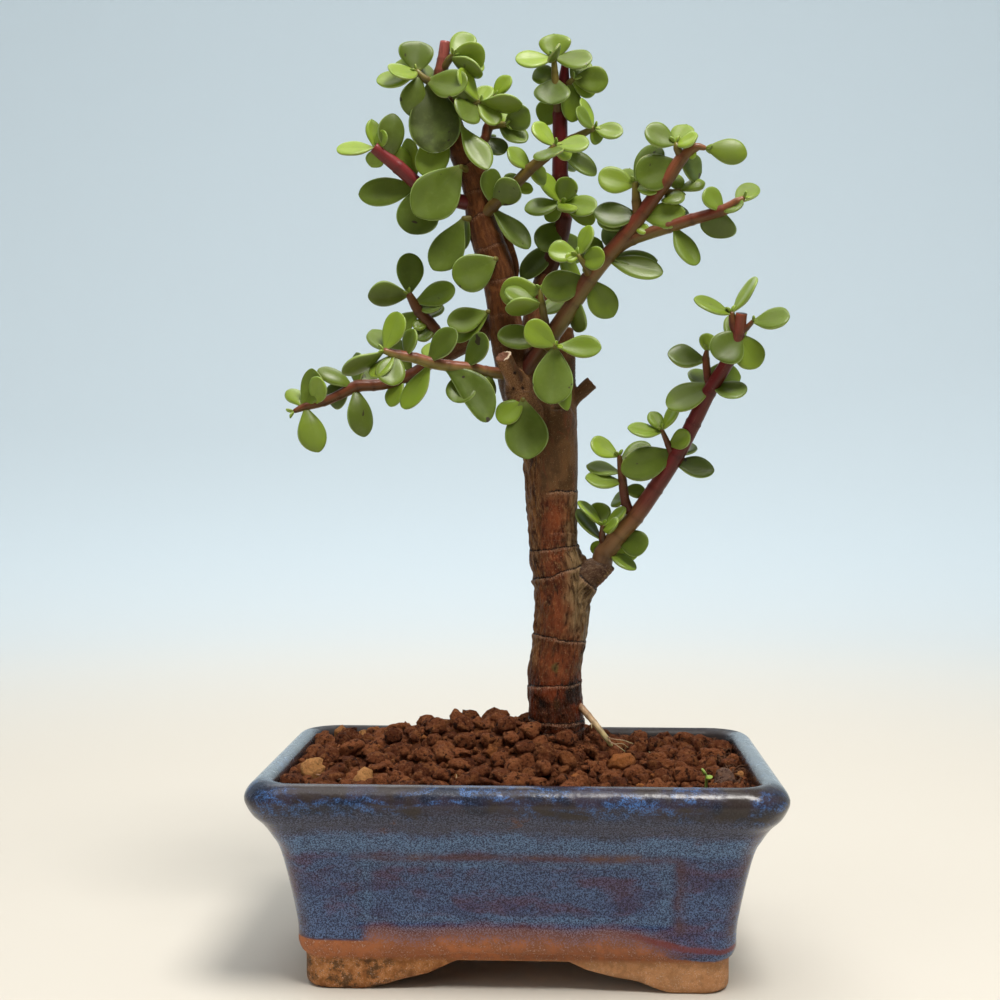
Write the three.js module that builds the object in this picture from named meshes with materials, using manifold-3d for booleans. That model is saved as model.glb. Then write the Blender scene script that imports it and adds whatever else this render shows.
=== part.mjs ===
// Dwarf jade bonsai (Portulacaria afra) in a glazed rectangular pot.
// Millimetres, +Z up. The origin is under the middle of the pot, on the surface it stands on.
// The pot's long side lies along X, and its front looks towards -Y.
import * as THREE from 'three';
import { mergeVertices } from 'three/addons/utils/BufferGeometryUtils.js';
import Module from 'manifold-3d';

// Pot
const POT_HALF_LENGTH = 91.0;
const POT_DEPTH_LESS = 31.0; // how much shorter half the depth is than half the length
const POT_MOUTH_HALF_LENGTH = 81.7; // inside the lip
const POT_RIM_HEIGHT = 72.8;
const POT_FLOOR_TOP = 14.5;
const POT_FLOOR_UNDERSIDE = 10.2;
const FOOT_HALF_LENGTH = 72.6;
const FOOT_APRON_THICKNESS = 9.0;
const CORNER_STEPS = 3;
const FOOT_CORNER_RADIUS = 9; // higher up the corners grow rounder with the pot's length
const PANEL_HALF_LENGTH = 53.0; // shallow rectangle pressed into each long wall
const PANEL_HALF_DEPTH = 24.0; // the same on the short walls
const PANEL_INSET = 0.9;
const PANEL_SLOPE = 0.8;
const DRAIN_RADIUS = 7.0;
const DRAIN_OFFSET = 34.0;

// Soil of baked clay granules
const SOIL_EDGE_HEIGHT = 66.6;
const SOIL_CUT_TOP = 95; // above the highest granule
const GRANULE_SPACING = 9.3;
const GRANULE_RELIEF = 3.4;
const GRANULE_SHIFT = 1.35;

// Trunk and leaves
const TRUNK_RADIUS = 10.1; // where it enters the soil
const TRUNK_FOOT_HEIGHT = 46.0;
const TRUNK_RING_SWELL = 0.45;
const TRUNK_RINGS = [98.4, 153.6];
const LEAF_THICKNESS = 1.8;
const THIN_STEM = 2.0;
const CLEARANCE = 0.3; // between pieces that touch on the real plant

// The crown was measured as it looks from in front of the pot. A place is given as across and
// up in the upright plane y = 0, and as how far it lies behind (+) or in front (-) of it.
const EYE = new THREE.Vector3(15.5, -517, 175.8);

const COLOURS = {
  glaze: 0x3a4a68,
  clay: 0x6e3a22,
  bark: 0x5c3a28,
  root: 0xc9b184,
  leaf: 0x5d8a34,
  youngLeaf: 0x7fb23c,
};

// The outer profile of the pot from the foot up, over the lip and down to the floor:
// height, half the length there, and 1 where the panels are pressed in
const POT_PROFILE = [
  [0.0, FOOT_HALF_LENGTH - 1.4, 0],
  [1.2, FOOT_HALF_LENGTH - 0.3, 0],
  [3.5, FOOT_HALF_LENGTH, 0],
  [10.4, FOOT_HALF_LENGTH + 0.1, 0],
  [12.2, FOOT_HALF_LENGTH + 1.3, 0],
  [15.0, FOOT_HALF_LENGTH + 2.6, 0],
  [17.8, FOOT_HALF_LENGTH + 1.9, 0],
  [22.6, FOOT_HALF_LENGTH + 2.2, 0],
  [23.6, FOOT_HALF_LENGTH + 2.4, 1],
  [35.0, FOOT_HALF_LENGTH + 4.5, 1],
  [46.6, FOOT_HALF_LENGTH + 7.4, 1],
  [47.6, FOOT_HALF_LENGTH + 7.8, 0],
  [53.0, POT_HALF_LENGTH - 8.1, 0],
  [57.5, POT_HALF_LENGTH - 5.4, 0],
  [61.3, POT_HALF_LENGTH - 2.2, 0],
  [66.5, POT_HALF_LENGTH, 0],
  [70.0, POT_HALF_LENGTH - 1.0, 0],
  [72.2, POT_HALF_LENGTH - 3.4, 0],
  [POT_RIM_HEIGHT, POT_HALF_LENGTH - 5.8, 0],
  [72.0, POT_HALF_LENGTH - 8.0, 0],
  [69.6, POT_MOUTH_HALF_LENGTH, 0],
  [61.0, POT_MOUTH_HALF_LENGTH - 1.6, 0],
  [46.0, POT_MOUTH_HALF_LENGTH - 7.8, 0],
  [POT_FLOOR_TOP, POT_MOUTH_HALF_LENGTH - 14.0, 0],
];

// The arches between the feet, across and up
const FRONT_ARCH = [
  [-52, -1], [-52, 0], [-49, 0.7], [-44, 1.7], [-38, 3.6], [-30, 5.5], [-24, 8.3],
  [-20, POT_FLOOR_UNDERSIDE], [18, POT_FLOOR_UNDERSIDE], [24, 7.4], [33, 5.2], [41, 3.9],
  [48, 1.2], [52, 0], [52, -1],
];
const SIDE_ARCH = [
  [-21, -1], [-21, 0], [-17, 4.0], [-12, 8.2], [-8, POT_FLOOR_UNDERSIDE],
  [8, POT_FLOOR_UNDERSIDE], [12, 8.2], [17, 4.0], [21, 0], [21, -1],
];

// Mounds of the soil: across, along the depth, height, and the spread both ways
const SOIL_MOUNDS = [
  [-23, 14, 12.0, 38, 30],
  [14, 8, 8.0, 26, 28],
];

// Woody stems of the trunk: across, up, depth, radius
const TRUNK_STEMS = [
  [
    [13.6, 84, 10, 10.1], [12.9, 92, 10, 9.6], [12.5, 102, 10, 9.7], [13.8, 113, 10, 9.6],
    [14.8, 130, 10, 10.2], [14.6, 140.5, 10, 10.1], [13.1, 147, 10, 9.2], [12.1, 159, 9.5, 9.3],
    [11.4, 179, 8.5, 10.0], [11.2, 191, 8, 10.0], [10.8, 198, 8, 8.8],
  ],
  // the old leader, cut off behind the branches
  [
    [12.2, 190, 9, 8.8], [13.6, 200, 10, 7.6], [14.8, 209.4, 10.5, 5.7], [16.1, 220.3, 11, 4.2],
    [16.9, 228.5, 11, 2.6],
  ],
  // the upper left branch, which carries the top of the crown
  [
    [9.5, 191, 7, 8.6], [4.5, 199, 5, 8.0], [0.3, 206, 4, 7.3], [-2.4, 216.7, 4, 6.6],
    [-4.6, 226, 4.5, 6.3], [-5.9, 236, 5, 6.1], [-8.0, 250, 5.5, 6.1], [-11.2, 259, 5.5, 5.9],
    [-14.0, 268.5, 5, 5.3], [-15.7, 279, 4, 5.0], [-18.4, 287, 3, 5.3], [-22.0, 294.5, 2, 4.6],
    [-24.6, 303, 1.5, 3.6], [-26.8, 311.2, 1, 2.9], [-28.2, 316.2, 1, 2.6],
  ],
  // the sawn block and stub that look at the viewer
  [[4.0, 197, 2, 6.4], [0.5, 203.5, -0.5, 5.6], [-1.0, 209, -1.5, 4.6]],
  [[-0.6, 206, 0, 3.7], [-2.2, 210.5, -5, 3.4], [-4.3, 214.6, -8.5, 3.2], [-6.0, 218.2, -11, 3.1]],
  // the knob on the right, from which the low branch grows
  [
    [15.5, 127, 9, 8.8], [20.0, 133.5, 8.5, 7.4], [24.8, 138.6, 8, 5.7], [29.1, 140.2, 7.5, 4.9],
    [32.1, 137.5, 7, 4.4],
  ],
  [[17.0, 199, 9, 2.6], [21.2, 203.2, 9, 2.3], [24.4, 206.6, 9, 2.2], [26.6, 208.6, 9, 2.2]],
  // the woody start of the branches on the left
  [
    [-4.0, 232, 6, 5.0], [-11.0, 228.5, 10, 4.7], [-18.0, 224.5, 13, 4.3], [-25.0, 220.5, 15.5, 3.8],
    [-31.0, 217.2, 16.5, 3.2],
  ],
  // the woody start of the middle shoot, behind the others
  [[3.0, 210, 10, 5.0], [3.9, 220.3, 12, 4.6], [6.0, 234, 15.5, 4.3], [9.5, 247, 18, 4.0]],
  [[-4.0, 243, 9, 2.2], [-2.0, 251, 11, 2.0], [-6.2, 265.5, 11, 1.5]],
];

const AERIAL_ROOT = [
  [20.0, 92.5, 5, 1.5], [23.4, 89, 2, 1.3], [26.5, 84.6, -1, 1.2], [29.8, 80.3, -3, 1.1],
  [33.5, 76.5, -4, 1.0], [36.5, 72.5, -4, 0.8],
];

// Leafy shoots. A stem is a list of places: across, up, depth, radius. A leaf is: the stem it
// grows from, the place along that stem counted in its points, the tip's across and up, how far
// the tip comes towards the viewer from the base, the blade's width, how many degrees its seen
// face is tipped up (or to the right on an upright leaf), and its sideways bend.
const SHOOTS = [
  {
    name: 'shoot_low_right',
    stems: {
      main: [
        [30.0, 141.5, 8, 3.9], [31.0, 146, 7, 3.9], [36.3, 153.1, 5, 3.5], [42.3, 159.7, 3, 3.2],
        [49.4, 169.8, 0, 3.0], [57.2, 182.1, -4, 2.9], [63.2, 193.7, -8, 2.8],
        [68.8, 204.9, -12, 2.6], [75.5, 216, -15, 2.4], [79.3, 225.7, -18, 2.1],
        [80.4, 233.2, -20, 2.0],
      ],
      low: [[32.0, 148, 7, 1.6], [30.3, 151.5, 5, 1.4], [30.4, 156.3, 3, 1.2]],
      inner: [[42.0, 158.5, 3.4, 1.9], [38.8, 164.5, 3, 1.8], [37.5, 173, 2, 1.6], [36.4, 181.5, 1, 1.2]],
      middle: [[56.0, 181, -4, 1.4], [54.0, 186, -5, 1.2], [51.8, 191, -6, 1.0]],
      upper: [[70.0, 206, -12, 1.7], [68.4, 209.8, -12, 1.5], [67.6, 216.9, -12, 1.3], [67.9, 219.6, -12, 1.0]],
      tip: [[79.0, 225, -18, 1.7], [77.5, 229.5, -18, 1.6], [76.8, 233.4, -18.5, 1.3]],
      side: [[79.6, 226, -18, 1.3], [82.2, 228, -19, 1.1], [84.4, 230.2, -20, 1.0]],
    },
    leaves: [
      ['tip', 2.0, 85.4, 246.5, 1, 10, 66],
      ['tip', 1.9, 63.5, 239.1, 2, 10, 62],
      ['side', 2.0, 97.6, 232.4, 5, 10, 44],
      ['main', 9.0, 86.4, 213.6, 1, 11, 15],
      ['main', 9.1, 71.2, 217.3, 4, 12.8, 0],
      ['main', 8.6, 78.0, 233.0, -9, 9, 20],
      ['upper', 1.9, 53.7, 218.6, 1, 10, 35],
      ['upper', 1.4, 80.0, 210.1, -8, 10, 30],
      ['main', 7.3, 53.5, 199.6, 1, 11, 25],
      ['main', 7.2, 82.4, 204.8, 4, 10, 50],
      ['main', 7.0, 64.0, 213.0, -12, 10, 40],
      ['middle', 2.0, 57.6, 201.0, 0, 8, 62],
      ['middle', 1.9, 39.3, 191.9, 1, 9, 55],
      ['middle', 0.9, 61.8, 189.7, 6, 7.5, 20],
      ['main', 4.8, 70.8, 176.2, -2, 9, 35],
      ['main', 5.1, 37.1, 176.2, 4, 12.2, 0],
      ['main', 5.0, 61.0, 187.0, -12, 10, 30],
      ['inner', 3.0, 26.5, 187.9, 1, 8.5, 38],
      ['inner', 2.8, 47.5, 186.0, -4, 9, 25],
      ['inner', 2.3, 24.4, 178.4, -3, 8, 52],
      ['inner', 1.9, 23.9, 173.4, 3, 9, 48],
      ['inner', 1.2, 34.0, 166.0, -8, 7, 30],
      ['low', 2.0, 21.8, 165.6, 1, 8, 66],
      ['low', 1.9, 28.2, 164.6, -6, 8, 10],
      ['low', 2.0, 38.8, 162.7, 3, 7.5, 60],
      ['low', 1.7, 35.6, 157.0, 9, 7, 50],
      ['low', 0.8, 21.5, 162.7, -2, 9, 60],
      ['main', 1.9, 46.9, 149.2, 4, 10, 5],
      ['main', 1.2, 42.8, 140.8, 3, 7.5, 52],
      ['main', 1.5, 43.4, 145.6, -4, 7, 10],
    ],
  },
  {
    name: 'shoot_right_upper',
    stems: {
      main: [
        [1.7, 212.3, 1, 3.3], [11.9, 225.8, -3, 3.2], [19.8, 237.2, -7, 3.0], [25.3, 245.9, -10, 3.0],
        [32.0, 254.3, -12, 2.9], [38.5, 261.6, -14, 2.8], [44.5, 269.6, -16, 2.6],
        [52.8, 280.7, -18, 2.4], [59.0, 289.7, -19, 2.2], [64.0, 293.2, -19.5, 1.5],
        [67.0, 292.8, -19.5, 1.1],
      ],
      fork: [[42.9, 269.2, -16, 1.8], [42.4, 274, -16.5, 1.7], [42.0, 280.5, -17, 1.4]],
      inner: [[25.3, 245.9, -10, 1.5], [24.5, 250, -14, 1.4], [21.4, 254.5, -15, 1.2]],
      low: [[10.5, 224, -3, 1.6], [9.3, 231, -6, 1.4], [8.2, 237, -8, 1.3], [7.6, 242, -8, 1.0]],
      front: [[9.0, 222.5, -3, 1.8], [11.2, 221, -8, 1.6], [13.4, 221.8, -12, 1.4]],
      back: [[50.5, 277.6, -18, 1.4], [54.6, 277, -14, 1.2], [58.2, 277.4, -12, 1.1]],
      upper: [[58.6, 289.4, -19, 1.6], [57.0, 293, -20, 1.3], [56.6, 294.6, -20, 1.1]],
      lateral: [
        [34.5, 256.4, -12.5, 2.2], [41.1, 260.3, -14, 2.2], [54.2, 264.6, -17, 2.2],
        [62.6, 267.2, -19, 2.1], [72.8, 270.1, -22, 2.0], [78.8, 273.2, -24, 1.7],
        [80.9, 274.7, -24.5, 1.1],
      ],
    },
    leaves: [
      ['main', 10.0, 82.2, 290.0, 1, 9.5, 22],
      ['upper', 2.0, 45.6, 299.9, 2, 10, 38],
      ['upper', 1.9, 60.4, 301.6, -4, 8.5, 28],
      ['upper', 1.7, 64.4, 297.6, 4, 8, 60],
      ['main', 7.8, 42.3, 282.0, 3, 13, 8],
      ['main', 7.9, 66.0, 284.0, -9, 10, 30],
      ['fork', 2.0, 49.5, 294.0, -3, 11, 28],
      ['fork', 1.9, 28.7, 283.7, 1, 10, 22],
      ['fork', 1.8, 51.0, 278.4, 2, 8, 48],
      ['fork', 1.7, 40.0, 286.0, -10, 9, 30],
      ['main', 5.9, 26.9, 270.1, 0, 10.5, 32],
      ['main', 5.4, 28.3, 267.6, -4, 8, 40],
      ['main', 5.0, 29.8, 263.0, -8, 9, 10],
      ['main', 5.9, 60.1, 270.0, 3, 10.5, 20],
      ['back', 2.0, 67.1, 280.6, 0, 7, 55],
      ['back', 1.8, 54.2, 272.8, 7, 8.5, 42],
      ['main', 3.9, 52.2, 248.4, 2, 10, 34],
      ['main', 4.0, 50.2, 252.8, -4, 9, 45],
      ['main', 3.0, 34.2, 232.1, -3, 11, 10],
      ['main', 2.3, 20.8, 226.6, -5, 9, -52],
      ['main', 3.0, 8.0, 242.0, 4, 11.5, 5],
      ['main', 3.1, 28.0, 252.0, -13, 10, 30],
      ['inner', 2.0, 10.6, 256.1, 2, 8.5, 30],
      ['inner', 2.0, 25.6, 265.4, 2, 8, 48],
      ['inner', 1.6, 30.9, 253.9, 5, 8.5, 15],
      ['inner', 2.0, 30.0, 259.6, -5, 9, 10],
      ['low', 2.0, -5.3, 242.0, 2, 9, 48],
      ['low', 2.0, -5.3, 235.6, 3, 9, -42],
      ['low', 3.0, -7.1, 240.4, -3, 11, 10],
      ['low', 1.4, 15.9, 238.4, -5, 8, 40],
      ['front', 2.0, 2.6, 229.9, 4, 10, 12],
      ['front', 2.0, 29.9, 220.7, 1, 9, 28],
      ['front', 1.8, 11.4, 200.4, 3, 14.6, 5],
      ['front', 1.6, 17.6, 198.2, -1, 9, 38],
      ['main', 0.9, -8.0, 225.7, 4, 9.5, 18],
      ['lateral', 2.2, 63.9, 250.5, 1, 9, 36],
      ['lateral', 4.1, 67.6, 278.4, 1, 8.5, 42],
      ['lateral', 4.2, 80.8, 272.6, 5, 8, 66],
      ['lateral', 4.0, 69.9, 260.6, -4, 13, 0],
      ['lateral', 2.3, 57.0, 273.0, -12, 9, 30],
      ['lateral', 4.9, 84.5, 280.0, -9, 8, 30],
    ],
  },
  {
    name: 'shoot_middle',
    stems: {
      main: [
        [9.0, 246, 18, 3.6], [14.0, 259, 18, 3.5], [15.9, 267.8, 17, 3.3], [15.4, 275, 16, 3.2],
        [14.8, 283, 15, 3.1], [14.8, 293.1, 14, 2.9], [14.8, 305.6, 13, 2.8], [15.9, 315.8, 12, 2.4],
        [16.6, 324.6, 12, 1.5],
      ],
      top: [[14.8, 304, 13, 1.9], [13.4, 313, 9, 1.9], [12.8, 320.5, 8, 1.9], [12.5, 326, 8, 1.4]],
      node: [[16.0, 315, 12, 1.3], [19.4, 318.2, 9, 1.3]],
      side: [[15.4, 294.5, 14, 1.8], [19.6, 296.7, 11, 1.7], [26.9, 300.4, 8, 1.3]],
      low: [[15.2, 272.5, 16, 1.6], [15.2, 273.6, 9, 1.5]],
    },
    leaves: [
      ['top', 3.0, 12.4, 334.7, -2, 12, 0],
      ['top', 3.0, -1.5, 325.4, 2, 9.5, 52],
      ['top', 3.0, 26.4, 325.6, 2, 10, 48],
      ['top', 2.9, 12.8, 329.0, 9, 8, 60],
      ['top', 1.7, 11.0, 309.6, 6, 13.6, 0],
      ['top', 1.6, 5.6, 321.4, -4, 8.5, 28],
      ['main', 6.4, 7.2, 303.4, -2, 10, 22],
      ['main', 6.6, 10.0, 311.0, -12, 10, 30],
      ['node', 1.0, 32.2, 317.2, 1, 10, 14],
      ['node', 0.9, 25.4, 324.3, -4, 8.5, 28],
      ['node', 0.9, 27.7, 313.6, -4, 8, 28],
      ['node', 0.7, 19.2, 302.6, -1, 9.5, 28],
      ['side', 2.0, 22.6, 311.4, 0, 8, 62],
      ['side', 2.0, 20.4, 307.1, 6, 8, 55],
      ['side', 2.0, 37.6, 298.7, 1, 8, 42],
      ['side', 1.9, 29.6, 295.6, -3, 6.5, 28],
      ['main', 5.1, 27.8, 283.6, 1, 9, 42],
      ['main', 4.6, 20.0, 288.0, -12, 10, 30],
      ['low', 1.0, 7.9, 285.0, 2, 9, 52],
      ['low', 1.0, 18.5, 282.6, 3, 9, 20],
      ['low', 1.0, 1.8, 271.6, 2, 9, 42],
      ['low', 1.0, 19.0, 270.4, 8, 7.5, 50],
      ['low', 1.0, 28.0, 271.6, 4, 10, 36],
      ['low', 0.7, 27.2, 266.4, 1, 9, -38],
      ['main', 1.9, 6.9, 257.0, 8, 10.6, 0],
      ['main', 1.2, 0.6, 246.4, 4, 9.5, 26],
      ['main', 1.3, 22.0, 241.0, -1, 8, 40],
      ['main', 2.8, 22.0, 275.0, -11, 10, 30],
      ['main', 1.5, 22.0, 252.0, -8, 10, 30],
    ],
  },
  {
    name: 'shoot_inner',
    stems: {
      main: [
        [-13.0, 269, 3, 2.3], [-9.6, 272.6, 0, 2.3], [-2.3, 279.6, -3, 2.2], [3.5, 285.6, -5, 2.1],
        [9.7, 290.6, -6, 1.9], [12.9, 294.2, -7, 1.4],
      ],
    },
    leaves: [
      ['main', 5.0, 5.4, 302.9, 1, 8.5, 48],
      ['main', 5.0, 25.4, 295.0, 1, 9, 52],
      ['main', 4.9, 8.6, 289.6, 9, 11.5, 55],
      ['main', 3.1, -4.2, 293.6, 1, 9, 48],
      ['main', 3.0, 10.0, 283.0, -6, 8, 30],
      ['main', 1.0, -9.9, 286.2, 0, 8.5, 20],
      ['main', 1.1, -1.4, 281.6, 8, 10.5, 0],
      ['main', 0.9, 3.3, 256.8, 0, 10, 42],
    ],
  },
  {
    name: 'shoot_left_front',
    stems: {
      main: [
        [-4.4, 211.4, -1, 2.2], [-12.6, 212.5, -5, 2.1], [-17.7, 213.7, -8, 2.1],
        [-26.1, 214.6, -11, 2.1], [-32.6, 215.8, -14, 2.1], [-38.1, 217.5, -16, 1.9],
        [-44.3, 218.6, -18, 1.8], [-49.4, 220.2, -20, 1.4],
      ],
    },
    leaves: [
      ['main', 7.0, -44.6, 234.5, 0, 10, 34],
      ['main', 7.0, -65.2, 212.2, 2, 10, -58],
      ['main', 6.8, -54.0, 228.0, -8, 9, 30],
      ['main', 6.2, -47.2, 207.4, 5, 10.5, 0],
      ['main', 6.3, -54.2, 210.4, 4, 8.5, 50],
      ['main', 5.6, -38.6, 228.1, 2, 8, 52],
      ['main', 4.2, -23.0, 227.6, 4, 10, 34],
      ['main', 4.0, -42.9, 199.2, 2, 9, 34],
      ['main', 4.1, -30.0, 224.0, -10, 9, 30],
      ['main', 3.4, -10.7, 194.6, 2, 12, 12, -0.14],
      ['main', 2.3, -12.6, 226.2, 4, 9.5, 34],
      ['main', 1.9, -24.2, 201.8, 6, 11, 20],
      ['main', 0.9, -12.9, 201.6, 2, 8.5, 28],
    ],
  },
  {
    name: 'shoot_left_rear',
    stems: {
      main: [
        [-29.0, 218.4, 16, 2.5], [-34.5, 214.5, 16, 2.4], [-39.9, 211.3, 15, 2.2],
        [-48.0, 208.4, 14, 2.2], [-53.5, 207.6, 13, 2.2], [-59.6, 207.2, 12, 2.3],
        [-66.2, 204, 11, 1.9], [-71.9, 201.6, 10, 1.8], [-78.6, 199.8, 9, 1.5], [-82.6, 198.2, 8, 1.1],
      ],
    },
    leaves: [
      ['main', 8.4, -75.8, 213.8, 1, 10.5, 25, 0.1],
      ['main', 7.6, -73.0, 210.4, 7, 9, 36],
      ['main', 8.0, -73.6, 183.0, 2, 10.8, 10],
      ['main', 8.2, -84.0, 206.0, -8, 8, 30],
      ['main', 5.5, -70.8, 202.6, -5, 10, 8],
      ['main', 5.1, -56.8, 188.6, 1, 10.5, 24],
      ['main', 5.2, -74.3, 212.8, 2, 9, 48],
      ['main', 5.0, -60.0, 219.6, -3, 8.5, -50],
      ['main', 5.0, -54.0, 214.0, -12, 10, 30],
      ['main', 2.4, -47.6, 199.8, 1, 9, 44],
      ['main', 2.2, -36.0, 203.0, -8, 9, 30],
      ['main', 1.9, -47.0, 225.0, -4, 8.5, 20],
    ],
  },
  {
    name: 'shoot_left_middle',
    stems: {
      main: [[-28.6, 221, 15, 2.4], [-31.0, 228, 12, 2.2], [-36.7, 234.6, 10, 2.1], [-40.3, 240.6, 8, 1.7]],
    },
    leaves: [
      ['main', 3.0, -40.0, 255.8, -1, 10.4, 8],
      ['main', 3.0, -55.5, 240.3, 2, 11, -32],
      ['main', 2.5, -23.7, 243.3, 2, 10, 28],
      ['main', 2.2, -27.9, 237.0, 2, 7.5, 48],
      ['main', 2.0, -46.4, 226.6, -2, 8.5, 38],
      ['main', 1.6, -30.0, 238.0, -9, 9, 30],
    ],
  },
  {
    name: 'shoot_upper_left',
    stems: {
      main: [
        [-17.5, 273.4, 4, 2.8], [-29.0, 276.3, 2, 2.7], [-35.5, 279.5, 0, 2.6], [-44.3, 287.1, -3, 2.6],
        [-53.1, 294.3, -6, 2.2],
      ],
    },
    leaves: [
      ['main', 4.0, -66.9, 293.9, 1, 9.5, 32],
      ['main', 4.0, -53.9, 304.7, -1, 6, 18],
      ['main', 3.3, -46.2, 306.6, 3, 10, 14],
      ['main', 2.2, -47.4, 295.2, 2, 8.5, 32],
      ['main', 2.3, -40.9, 297.4, -2, 8, -36],
      ['main', 2.1, -58.9, 277.2, 1, 10.8, 18],
      ['main', 2.0, -39.6, 262.6, 1, 15.6, 0],
      ['main', 1.6, -30.0, 284.0, -11, 10, 30],
    ],
  },
  {
    name: 'shoot_top_left',
    stems: {
      main: [
        [-27.6, 313.5, 1, 2.5], [-29.0, 317, 1, 2.6], [-28.5, 321.3, 0.5, 2.6], [-27.7, 325.7, 0, 2.3],
        [-27.0, 332.3, -0.5, 1.9],
      ],
      left: [[-28.8, 316.5, 0, 1.5], [-34.0, 318.6, -4, 1.4], [-37.4, 321.8, -5, 1.2]],
      right: [[-28.2, 321.6, 0, 1.4], [-25.6, 325.8, -3, 1.3], [-24.4, 327.4, -4, 1.1]],
    },
    leaves: [
      ['left', 2.0, -36.6, 332.6, -2, 12.8, 0],
      ['left', 2.0, -46.6, 320.8, 8, 11, 55],
      ['left', 1.9, -52.1, 317.8, 1, 9, 50],
      ['left', 1.9, -45.0, 325.0, -5, 8.5, 28],
      ['left', 1.6, -39.9, 305.4, -1, 9.6, 14],
      ['left', 0.7, -30.4, 292.1, 4, 19, 0],
      ['left', 1.0, -19.2, 316.6, 7, 12, 28],
      ['left', 1.2, -34.0, 325.0, -11, 9, 30],
      ['right', 2.0, -12.4, 327.2, 1, 10.4, -14],
      ['right', 1.9, -17.2, 334.6, -5, 9.5, 28],
      ['right', 1.7, -12.8, 322.2, -3, 9.5, 36],
      ['right', 1.5, -13.4, 320.4, 4, 9, -48],
    ],
  },
  {
    name: 'shoot_top_middle',
    stems: {
      main: [
        [-17.0, 287, 4, 2.2], [-12.6, 296.6, 6, 1.9], [-11.5, 300.8, 6, 1.9], [-8.9, 306.6, 5, 1.8],
        [-9.3, 312.2, 4, 1.4],
      ],
      right: [[-11.3, 301.4, 6, 1.5], [-7.5, 302, 3, 1.4], [-5.0, 302, 1, 1.2]],
    },
    leaves: [
      ['main', 4.0, -3.3, 319.6, 1, 7, 34],
      ['main', 3.8, -14.0, 316.0, -8, 8, 30],
      ['right', 2.0, 3.4, 307.4, 4, 10, 14],
      ['right', 2.0, -2.8, 308.2, -3, 8.5, 20],
      ['right', 1.0, 2.4, 295.9, 4, 9, 42],
      ['main', 1.2, -5.4, 291.6, 3, 8, 30],
      ['main', 1.4, -12.0, 294.0, -10, 8, 30],
    ],
  },
  {
    name: 'shoot_top_front',
    stems: { main: [[-23.5, 303.5, 1, 1.8], [-19.0, 308, -2, 1.5], [-14.5, 310.5, -4, 1.3]] },
    leaves: [
      ['main', 2.0, -21.8, 322.5, 5, 9, 56],
      ['main', 2.0, 1.2, 309.7, 2, 9.5, -46],
      ['main', 1.9, -11.2, 315.7, -5, 7, 30],
      ['main', 1.9, -24.6, 313.3, -2, 8.5, -48],
      ['main', 1.9, -8.3, 302.0, 2, 8.5, 40],
      ['main', 1.7, -20.4, 304.2, 9, 11.8, 0],
    ],
  },
  {
    name: 'spur_top',
    stems: { main: [[-22.6, 297, 1, 1.8], [-26.4, 300.5, -3, 1.5]] },
    leaves: [
      ['main', 1.0, -34.6, 283.4, 1, 12, 8],
      ['main', 0.8, -36.0, 300.0, -9, 9, 30],
    ],
  },
  {
    name: 'spur_top_front',
    stems: { main: [[-22.8, 301.5, 0, 1.7], [-21.4, 302.2, -5, 1.4]] },
    leaves: [['main', 1.0, -11.4, 285.9, 4, 9.6, 30]],
  },
  {
    name: 'spur_upper_front',
    stems: { main: [[-17.5, 285, 2, 1.8], [-21.4, 287, -5, 1.5]] },
    leaves: [['main', 1.0, -38.3, 269.5, 3, 17.5, 4]],
  },
  {
    name: 'spur_upper_left',
    stems: { main: [[-15.0, 268, 4, 1.8], [-20.6, 268.2, 0, 1.5]] },
    leaves: [
      ['main', 1.0, -31.5, 249.4, 1, 12.5, 10],
      ['main', 0.7, -24.0, 258.0, -9, 10, 30],
    ],
  },
  {
    name: 'spur_front',
    stems: { main: [[-8.6, 253, 4, 1.7], [-8.8, 253.4, -3, 1.4]] },
    leaves: [['main', 1.0, -24.2, 246.2, 3, 13.8, 4]],
  },
  {
    name: 'spur_left',
    stems: { main: [[-6.0, 234.6, 5, 1.8], [-11.8, 234.2, 2, 1.5]] },
    leaves: [
      ['main', 1.0, -26.4, 230.2, 2, 10.5, 22],
      ['main', 0.9, -24.6, 224.2, -1, 8.5, 34],
    ],
  },
  {
    name: 'spur_low_front',
    stems: { main: [[2.5, 200.5, 0, 1.9], [1.2, 202.2, -6, 1.6]] },
    leaves: [
      ['main', 1.0, 3.1, 180.4, 3, 15.8, 0],
      ['main', 0.9, -7.6, 194.2, 2, 9, 14],
    ],
  },
  {
    name: 'spur_back',
    stems: { main: [[9.0, 190, 14, 1.9], [8.0, 192, 20, 1.5]] },
    leaves: [
      ['main', 1.0, -2.0, 196.0, -9, 10.5, 30],
      ['main', 1.0, 17.0, 200.0, -9, 10.5, 30],
    ],
  },
];

const SEEDLING_PLACE = new THREE.Vector3(64, -38, 61);
const SEEDLING_HEIGHT = 12.4;

const wasm = await Module();
wasm.setup();
const { Manifold, Mesh } = wasm;

// The same numbers come out of each run
function seededRandom(seed) {
  let state = seed;
  return () => {
    state = (state * 1664525 + 1013904223) % 4294967296;
    return state / 4294967296;
  };
}

function toSolid(geometry) {
  const bare = geometry.clone();
  bare.deleteAttribute('normal');
  bare.deleteAttribute('uv');
  const merged = mergeVertices(bare, 1e-5);
  return new Manifold(new Mesh({
    numProp: 3,
    vertProperties: new Float32Array(merged.attributes.position.array),
    triVerts: new Uint32Array(merged.index.array),
  }));
}

function toGeometry(solid) {
  const mesh = solid.getMesh();
  const geometry = new THREE.BufferGeometry();
  geometry.setAttribute('position', new THREE.BufferAttribute(new Float32Array(mesh.vertProperties), 3));
  geometry.setIndex(new THREE.BufferAttribute(new Uint32Array(mesh.triVerts), 1));
  const loose = geometry.toNonIndexed();
  loose.computeVertexNormals();
  return loose;
}

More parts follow.
